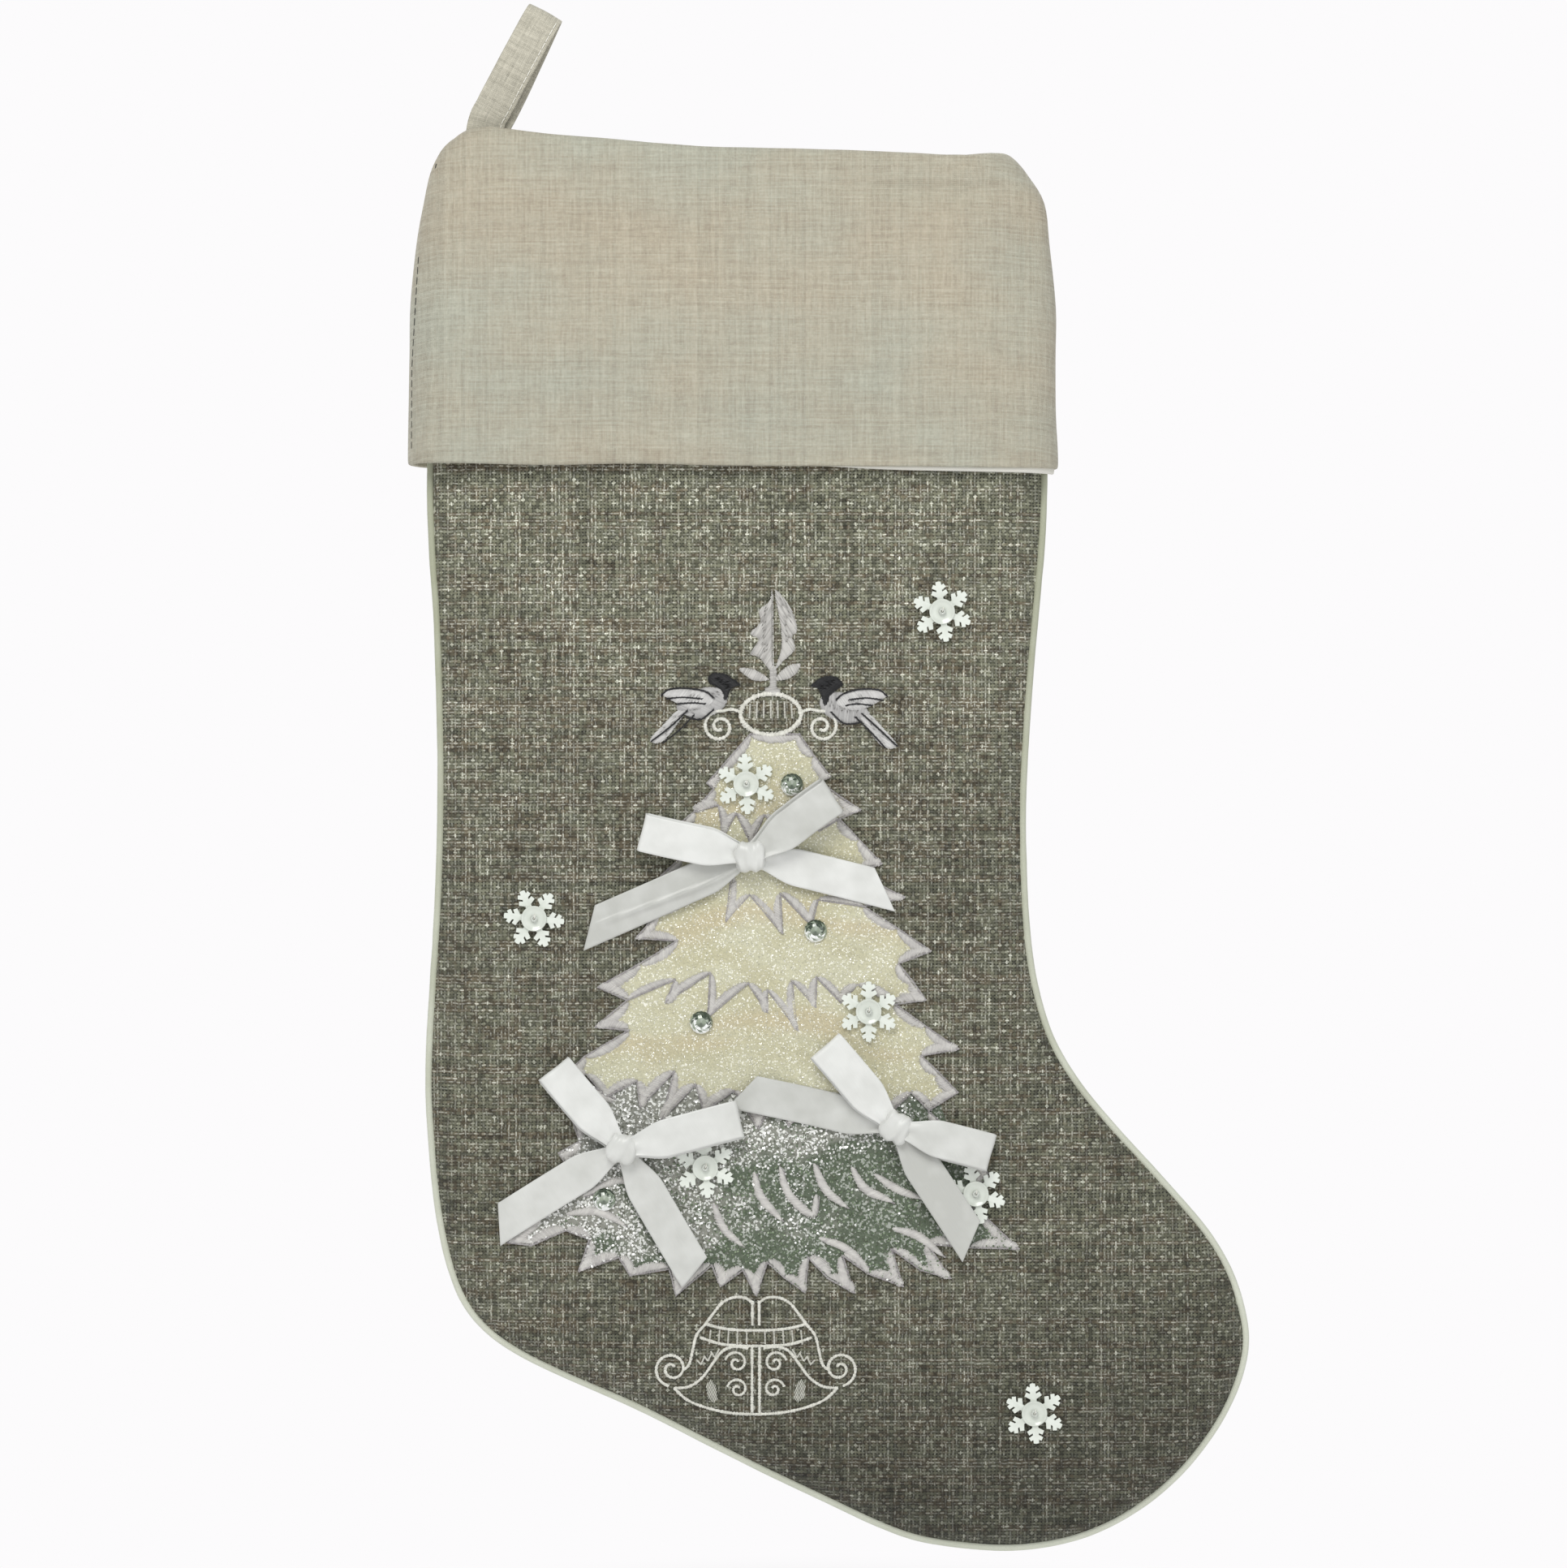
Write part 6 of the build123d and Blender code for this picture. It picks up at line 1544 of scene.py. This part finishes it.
def bow(name, c, arms, seed):
    rng = np.random.default_rng(seed)
    bag = Bag()
    base = float(front_height(np.array([c[0]]), np.array([c[1]]))[0])
    top = base + 6.2          # height of the knot's middle above y = 0
    length = 0.0
    for kind, ang, ln, low, bend, opts in arms:
        ca, sa = math.cos(math.radians(ang)), math.sin(math.radians(ang))
        ph = rng.uniform(0, 6.28)
        if kind == "loop":
            m = 34
            u_out = np.linspace(0.8, ln - 1.6, m)
            f = np.linspace(0, 1, m)
            h_low = low + 0.9 * (1 - f) ** 2 + 0.25 * np.sin(f * 5 + ph)
            th = np.linspace(-math.pi / 2, math.pi / 2, 12)[1:-1]
            gap = opts.get("gap", 3.0)
            u_fold = ln - 1.5 + 1.5 * np.cos(th) ** 0.8
            h_fold = h_low[-1] + gap / 2 + gap / 2 * np.sin(th)
            f2 = f[::-1]
            h_up = h_low[-1] + gap + (opts.get("bulge", 0.9)) * np.sin(math.pi * f2) - 0.3 * (1 - f2) + 0.2 * np.sin(f2 * 6 + ph)
            u = np.concatenate([u_out, u_fold, u_out[::-1]])
            h = np.concatenate([h_low, h_fold, h_up])
            v = bend * np.sin(math.pi * np.clip(u / ln, 0, 1) * 0.5) ** 2
            # The two layers are not exactly one above the other.
            v = v + np.concatenate([np.full(m, opts.get("slip", -0.5)), np.linspace(opts.get("slip", -0.5), 0, len(th)), np.zeros(m)])
            half = 2.7 + 3.3 * smoothstep(0.5, 15, u)
            pc = np.array([[*polar(c, ang, a, b), hh] for a, b, hh in zip(u, v, h)])
            centre = np.stack([pc[:, 0], -pc[:, 2], pc[:, 1]], 1)
            side = np.tile([-sa, 0.0, ca], (len(u), 1))
            twist = opts.get("twist", 0.0) * np.sin(math.pi * np.clip(u / ln, 0, 1))
            side[:, 1] += twist
            side /= np.linalg.norm(side, axis=1, keepdims=True)
            un = u / ln
            cr = lambda s, w, un=un, ph=ph: (0.75 * np.cos(w * 5.2 + ph) * np.exp(-un[:, None] * ln / 6.5) + 0.12 * np.cos(w * 2.2 + 1) * (1 - w ** 2))
            length += strip(bag, centre, side, half, crease=cr, tint=opts.get("tint", 0.45))
        else:
            m = 60
            u = np.linspace(0.5, ln, m)
            f = np.linspace(0, 1, m)
            h0 = base + 5.0
            h = low + (h0 - low) * np.exp(-u / 7.0) + opts.get("wave", 0.5) * np.sin(f * 7 + ph) * smoothstep(0.1, 0.6, f) * 0.6
            v = bend * f ** 2
            half = 2.6 + 3.4 * smoothstep(0.5, 16, u)
            pc = np.array([[*polar(c, ang, a, b), hh] for a, b, hh in zip(u, v, h)])
            centre = np.stack([pc[:, 0], -pc[:, 2], pc[:, 1]], 1)
            side = np.tile([-sa, 0.0, ca], (m, 1))
            tw = opts.get("twist", 0.0) * np.sin(math.pi * f) + opts.get("roll", 0.0) * f
            side[:, 1] += tw
            side /= np.linalg.norm(side, axis=1, keepdims=True)
            fold = opts.get("fold", 0.0)
            cr = lambda s, w, u=u, ph=ph, fold=fold: (0.7 * np.cos(w * 4.8 + ph) * np.exp(-u[:, None] / 7.0) + fold * np.exp(-((w - 0.25 + 0.6 * (s - 0.5)) / 0.13) ** 2) * np.sin(math.pi * s) ** 0.5 + 0.1 * np.cos(w * 2.0))
            length += strip(bag, centre, side, half, crease=cr, tint=opts.get("tint", 0.5), shear1=opts.get("cut", 3.0))
    # The knot: the ribbon wrapped once round, pinched into creases.
    loops = [a[1] for a in arms if a[0] == "loop"]
    la, lb = math.radians(loops[0]), math.radians(loops[1])
    axis = math.atan2(math.sin(la) - math.sin(lb), math.cos(la) - math.cos(lb))
    ca, sa = math.cos(axis), math.sin(axis)
    n, m = 44, 26
    aa = np.linspace(0, 2 * math.pi, n, endpoint=False)
    ww = np.linspace(-1, 1, m)
    A, W = np.meshgrid(aa, ww, indexing="ij")
    se = lambda v, p: np.sign(v) * np.abs(v) ** p
    round_ = np.sqrt(np.maximum(0, 1 - np.abs(W) ** 3.2)) * 0.42 + 0.58
    ang0 = rng.uniform(0, 6.28)
    pinch = 1 + 0.07 * np.cos(W * 5 + 2 * np.sin(A + ang0)) + 0.04 * np.cos(W * 10 + 2 * A + ang0)
    hx = W * 4.5 * (1 + 0.1 * np.cos(A * 2 + ang0))
    hz = se(np.cos(A), 0.8) * 4.9 * round_ * pinch
    hy = se(np.sin(A), 0.75) * 3.1 * round_ * pinch
    x = c[0] + hx * ca - hz * sa
    z = c[1] + hx * sa + hz * ca
    y = -(top - 0.3 + hy)
    kv = np.stack([x, y, z], -1).reshape(-1, 3)
    kq = grid_faces(n, m, close_cols=False, close_rows=True)
    bag.add(kv, quads=kq, value=0.42)
    for j in (0, m - 1):
        ring = kv.reshape(n, m, 3)[:, j]
        ctr = ring.mean(0) + np.array([ca, 0, sa]) * (-0.4 if j == 0 else 0.4)
        idx = np.arange(n)
        bag.add(np.vstack([ring, ctr]), tris=np.stack([idx, (idx + 1) % n, np.full(n, n)], 1), value=0.42)
    ob = bag.make(name + "_ribbon", MAT["satin"])
    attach(ob, name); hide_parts(name)
    me = ob.data
    ar = sum(p.area for p in me.polygons) / 2
    print(name, "ribbon", round(ar / 0.012, 3), "m")
    return ob


# Each arm's tint sets painted shade on the white satin: higher values are darker.
bow("bow_top", (66.5, -271.2), [
    ("loop", 165.9, 35.6, 13.2, 1.0, {"gap": 2.6, "bulge": 1.2, "slip": -0.6, "tint": 0.1}),
    ("loop", 33.3, 33.0, 13.6, 1.5, {"gap": 3.0, "slip": 1.2, "tint": 0.8, "bulge": 0.6}),
    ("tail", -155.6, 56.5, 12.2, -0.5, {"fold": 1.1, "cut": 4.7, "tint": 0.9, "wave": 0.8, "twist": 0.14}),
    ("tail", -13.0, 44.5, 12.3, -0.6, {"cut": -4.8, "wave": 0.5, "tint": 0.2})], 101)
bow("bow_left", (25.4, -364.7), [
    ("loop", 128.6, 33.6, 13.5, 0.8, {"gap": 2.8, "slip": 0.7, "tint": 0.15}),
    ("loop", 13.3, 39.0, 14.3, 0.8, {"gap": 3.0, "slip": -0.7, "bulge": 1.0, "tint": 0.3}),
    ("tail", -148.9, 46.4, 12.9, 0.6, {"cut": 3.2, "wave": 0.7, "tint": 0.5}),
    ("tail", -60.3, 46.2, 13.0, 0.5, {"cut": -2.3, "wave": 0.6, "fold": 0.35, "tint": 0.6})], 102)
bow("bow_right", (113.2, -357.9), [
    ("loop", 131.6, 34.6, 13.2, -0.6, {"gap": 2.8, "slip": 0.6, "tint": 0.15}),
    ("loop", -15.5, 31.6, 14.2, 0.5, {"gap": 2.8, "slip": -0.6, "bulge": 0.7, "tint": 0.5}),
    ("tail", 165.5, 50.6, 12.2, 1.5, {"cut": 3.45, "wave": 0.6, "tint": 0.8}),
    ("tail", -56.0, 43.9, 14.6, -0.4, {"cut": -3.9, "wave": 0.4, "tint": 1.0})], 103)

# ------------------------------------------------------------------ hanging loop
CA, SA = math.cos(math.radians(28.6)), math.sin(math.radians(28.6))


def on_loop(u, s):
    return (u * SA + s * CA, u * CA - s * SA)


# Front strand down from the top: (y, u, shift across)
front_line = [(0.0, 0.85, 0.0), (-1.6, 0.5, 0.0), (-3.0, -1.2, 0.0), (-3.75, -5.0, 0.0), (-3.9, -12.0, 0.0), (-3.75, -19.0, 0.0), (-3.1, -25.0, 0.0), (-2.1, -30.0, 0.0), (-1.2, -34.5, 0.0), (-0.95, -38.0, 0.0)]
cl = []
for y, u, s in front_line:
    x, z = on_loop(u, s)
    cl.append((x, y, z))
cl += [(-19.3, -0.9, -38.5), (-18.7, -0.85, -43.0), (-18.3, -0.85, -48.5), (-18.1, -0.85, -54.0)]
rl = []
for y, u, s in front_line:
    x, z = on_loop(u, s + 2.0 * min(1, max(0, (-u - 2) / 30)))
    rl.append((x, -y, z))
rl += [(-18.0, 0.9, -39.2), (-17.6, 0.85, -43.2), (-17.4, 0.85, -48.5), (-17.3, 0.85, -54.0)]
full = catmull(cl[::-1] + rl[1:], 5)
full = resample(full, 0.9)
t3 = tangents(full)
wdir = np.tile([CA, 0.0, -SA], (len(full), 1))
# Below the fold of the cuff the ends turn straight down.
low = smoothstep(-36.0, -46.0, full[:, 2])[:, None]
wdir = wdir * (1 - low) + np.array([0.86, 0.0, -0.1]) * low
wdir -= t3 * (wdir * t3).sum(1, keepdims=True)
wdir /= np.linalg.norm(wdir, axis=1, keepdims=True)
nrm = np.cross(t3, wdir)
hw = 6.0 + value_noise(full[:, 2], full[:, 1] * 4, 9, 55) * 0.12
# Flat folded ribbon: rounded edges, a slight swell along the middle.
prof_w = np.array([-1, -0.985, -0.9, -0.72, -0.5, -0.25, 0, 0.25, 0.5, 0.72, 0.9, 0.985])
up_h = 0.5 + 0.16 * np.cos(prof_w * 2.4)
up_h[0] = 0.0
up_h[1] = 0.34
up_h[-1] = 0.34
pw = np.concatenate([prof_w, [1.0], prof_w[::-1][:-1]])
ph = np.concatenate([up_h, [0.0], -up_h[::-1][:-1]])
v = full[:, None] + wdir[:, None] * (hw[:, None] * pw[None])[..., None] + nrm[:, None] * ph[None, :, None]
k = len(pw)
faces = [grid_faces(len(full), k, close_cols=True)]
run = np.concatenate([[0.0], np.cumsum(np.linalg.norm(np.diff(full, axis=0), axis=1))])
strap = build("hanging_loop_ribbon", v.reshape(-1, 3), faces, MAT["strap"], True, {"wu": ("POINT", "FLOAT", np.tile(6.0 * pw, len(full)) + 40.0), "wv": ("POINT", "FLOAT", np.repeat(run, k) - 200.0)})
bm = bmesh.new(); bm.from_mesh(strap.data)
bmesh.ops.holes_fill(bm, edges=[e for e in bm.edges if e.is_boundary], sides=0)
bmesh.ops.recalc_face_normals(bm, faces=bm.faces)
bm.to_mesh(strap.data); bm.free()
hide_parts("hanging_loop", "loop_tab")
sx, sz = on_loop(-31.0, 0)
ex, ez = on_loop(-40.0, 0)

# Edge stitching of the loop, along one edge of both strands.
bag = Bag()
half_n = int(np.argmax(full[:, 2]))
for e in (0.8,):
    line = full + wdir * (hw * e)[:, None]
    side_sign = 1.0
    out_ = nrm * 0.56
    # Which side faces out of the loop.
    sgn = np.sign((nrm * np.stack([np.zeros(len(full)), full[:, 1], np.zeros(len(full))], 1)).sum(1))
    sgn[sgn == 0] = 1
    line = line + nrm * (0.6 * sgn)[:, None]
    s0 = np.concatenate([[0], np.cumsum(np.linalg.norm(np.diff(line, axis=0), axis=1))])
    total = s0[-1]
    pos = 14.0
    while pos < total - 14:
        q = np.linspace(pos, pos + 2.0, 6)
        pp = np.stack([np.interp(q, s0, line[:, a]) for a in range(3)], 1)
        mid = int(np.interp(pos + 1, s0, np.arange(len(line))))
        if abs(mid - half_n) > 3:
            lift = np.sin(np.linspace(0, math.pi, 6)) * 0.1 - 0.04
            pp = pp + nrm[mid] * sgn[mid] * lift[:, None]
            tv, tq = tube(pp, 0.17, 6, up=nrm[mid])
            bag.add(tv, quads=tq, value=0.7)
        pos += 2.5
ts = bag.make("loop_edge_stitches", MAT["pale"])
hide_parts("loop_topstitch", "loop_bartack")
for ob in (strap, ts):
    sx * MM
    sz * MM
    ex * MM
    ez * MM
    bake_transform(ob)

# ------------------------------------------------------------------ cuff seam stitches
bag = Bag()
tree = BVHTree.FromPolygons([Vector(p) for p in cv.reshape(-1, 3)], [tuple(int(i) for i in f) for f in fc])
for z in np.arange(-140.0, -78.0, 3.3):
    zz = np.linspace(z, z + 2.2, 5)
    pts = []
    for w in zz:
        f = (w + 73.4) / (-144.7 + 73.4)
        xl = -40.9 + (-43.4 + 40.9) * min(1.0, max(0.0, f * 1.7))
        hit = tree.ray_cast(Vector((xl + 1.3, -60.0, float(w))), Vector((0, 1, 0)))
        if hit[0] is None:
            break
        pts.append((hit[0].x - 0.25, hit[0].y - 0.3, hit[0].z))
    if len(pts) == 5:
        pts = np.array(pts)
        pts[:, 1] -= np.sin(np.linspace(0, math.pi, 5)) * 0.14
        tv, tq = tube(pts, 0.3, 6, up=(1, 0, 0))
        bag.add(tv, quads=tq, value=0.2)
# One stitch shows at the top corner.
hit = tree.ray_cast(Vector((-34.6, -60.0, -49.5)), Vector((0, 1, 0)))
if hit[0] is not None:
    pts = np.array([(-34.5, hit[0].y - 0.35, -48.4), (-34.7, hit[0].y - 0.6, -49.3), (-34.9, hit[0].y - 0.35, -50.4)])
    tv, tq = tube(pts, 0.3, 6, up=(1, 0, 0))
    bag.add(tv, quads=tq, value=0.0)
cs = bag.make("cuff_seam_stitches", MAT["seam"])
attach(cs, "stocking"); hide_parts("cuff_side_stitching")

# ------------------------------------------------------------------ CAD pieces that stay
for name, key in (("bow_tack_threads", "pale"),):
    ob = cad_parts[name]
    ob.data.materials.clear()
    ob.data.materials.append(MAT[key])

# ------------------------------------------------------------------ floor, light, camera
scene = bpy.context.scene
WHITE = srgb(252, 251, 252)
floor_me = bpy.data.meshes.new("floor")
bm = bmesh.new()
bmesh.ops.create_circle(bm, cap_ends=True, radius=7.0, segments=96)
bm.to_mesh(floor_me); bm.free()
floor = bpy.data.objects.new("floor", floor_me)
floor.location = (0.08, 0.0, -0.523)
scene.collection.objects.link(floor)
fm = bpy.data.materials.new("pale_floor")
fm.use_nodes = True
t_ = fm.node_tree
pr = next(n for n in t_.nodes if n.type == "BSDF_PRINCIPLED")
pr.inputs["Base Color"].default_value = (0.95, 0.95, 0.955, 1)
pr.inputs["Roughness"].default_value = 0.9
em = t_.nodes.new("ShaderNodeEmission")
em.inputs[0].default_value = (*WHITE, 1)
em.inputs[1].default_value = 1.0
mixn = t_.nodes.new("ShaderNodeMixShader")
tc = t_.nodes.new("ShaderNodeTexCoord")
ln_ = t_.nodes.new("ShaderNodeVectorMath"); ln_.operation = "LENGTH"
mr = t_.nodes.new("ShaderNodeMapRange"); mr.interpolation_type = "SMOOTHSTEP"
mr.inputs["From Min"].default_value, mr.inputs["From Max"].default_value = 0.03, 0.22
t_.links.new(tc.outputs["Object"], ln_.inputs[0])
t_.links.new(ln_.outputs["Value"], mr.inputs["Value"])
t_.links.new(mr.outputs["Result"], mixn.inputs[0])
t_.links.new(pr.outputs[0], mixn.inputs[1])
t_.links.new(em.outputs[0], mixn.inputs[2])
out_node = next(n for n in t_.nodes if n.type == "OUTPUT_MATERIAL")
t_.links.new(mixn.outputs[0], out_node.inputs["Surface"])
floor_me.materials.append(fm)

world = bpy.data.worlds.new("studio") if not scene.world else scene.world
scene.world = world
world.use_nodes = True
wt = world.node_tree
wt.nodes.clear()
wo = wt.nodes.new("ShaderNodeOutputWorld")
lp = wt.nodes.new("ShaderNodeLightPath")
b1 = wt.nodes.new("ShaderNodeBackground")
b1.inputs[0].default_value = (*WHITE, 1); b1.inputs[1].default_value = 1.0
b2 = wt.nodes.new("ShaderNodeBackground")
b2.inputs[0].default_value = (0.96, 0.98, 1.0, 1); b2.inputs[1].default_value = 0.52
wm = wt.nodes.new("ShaderNodeMixShader")
wt.links.new(lp.outputs["Is Camera Ray"], wm.inputs[0])
wt.links.new(b2.outputs[0], wm.inputs[1])
wt.links.new(b1.outputs[0], wm.inputs[2])
wt.links.new(wm.outputs[0], wo.inputs[0])


def area_light(name, loc, target, size, power, colour=(1, 1, 1)):
    li = bpy.data.lights.new(name, "AREA")
    li.shape = "SQUARE"
    li.size = size
    li.energy = power
    li.color = colour
    ob = bpy.data.objects.new(name, li)
    ob.location = loc
    ob.rotation_euler = (Vector(target) - Vector(loc)).to_track_quat("-Z", "Y").to_euler()
    scene.collection.objects.link(ob)
    return ob


area_light("key", (-0.3, -1.35, 0.95), (0.05, 0, -0.2), 0.9, 16.5, (1.0, 0.99, 0.97))
area_light("fill", (1.1, -1.4, 0.0), (0.08, 0, -0.28), 1.2, 4.5, (0.97, 0.99, 1.0))
area_light("rim", (0.3, 1.2, 0.9), (0.08, 0, -0.2), 1.0, 8.0)
area_light("back_fill", (-0.9, 1.5, 0.1), (0.05, 0, -0.25), 1.2, 8.0)

cam_d = bpy.data.cameras.new("camera")
cam_d.sensor_width = 36.0
cam_d.lens = 36.0 * 2.0 / 0.506
cam_d.clip_start, cam_d.clip_end = 0.05, 60
cam = bpy.data.objects.new("camera", cam_d)
cam.location = (0.0772, -2.0, -0.2479)
cam.rotation_euler = (math.radians(90), 0, 0)
scene.collection.objects.link(cam)
scene.camera = cam
scene.view_settings.view_transform = "Standard"
scene.view_settings.look = "None"
scene.view_settings.exposure = 0.0
scene.view_settings.gamma = 1.0
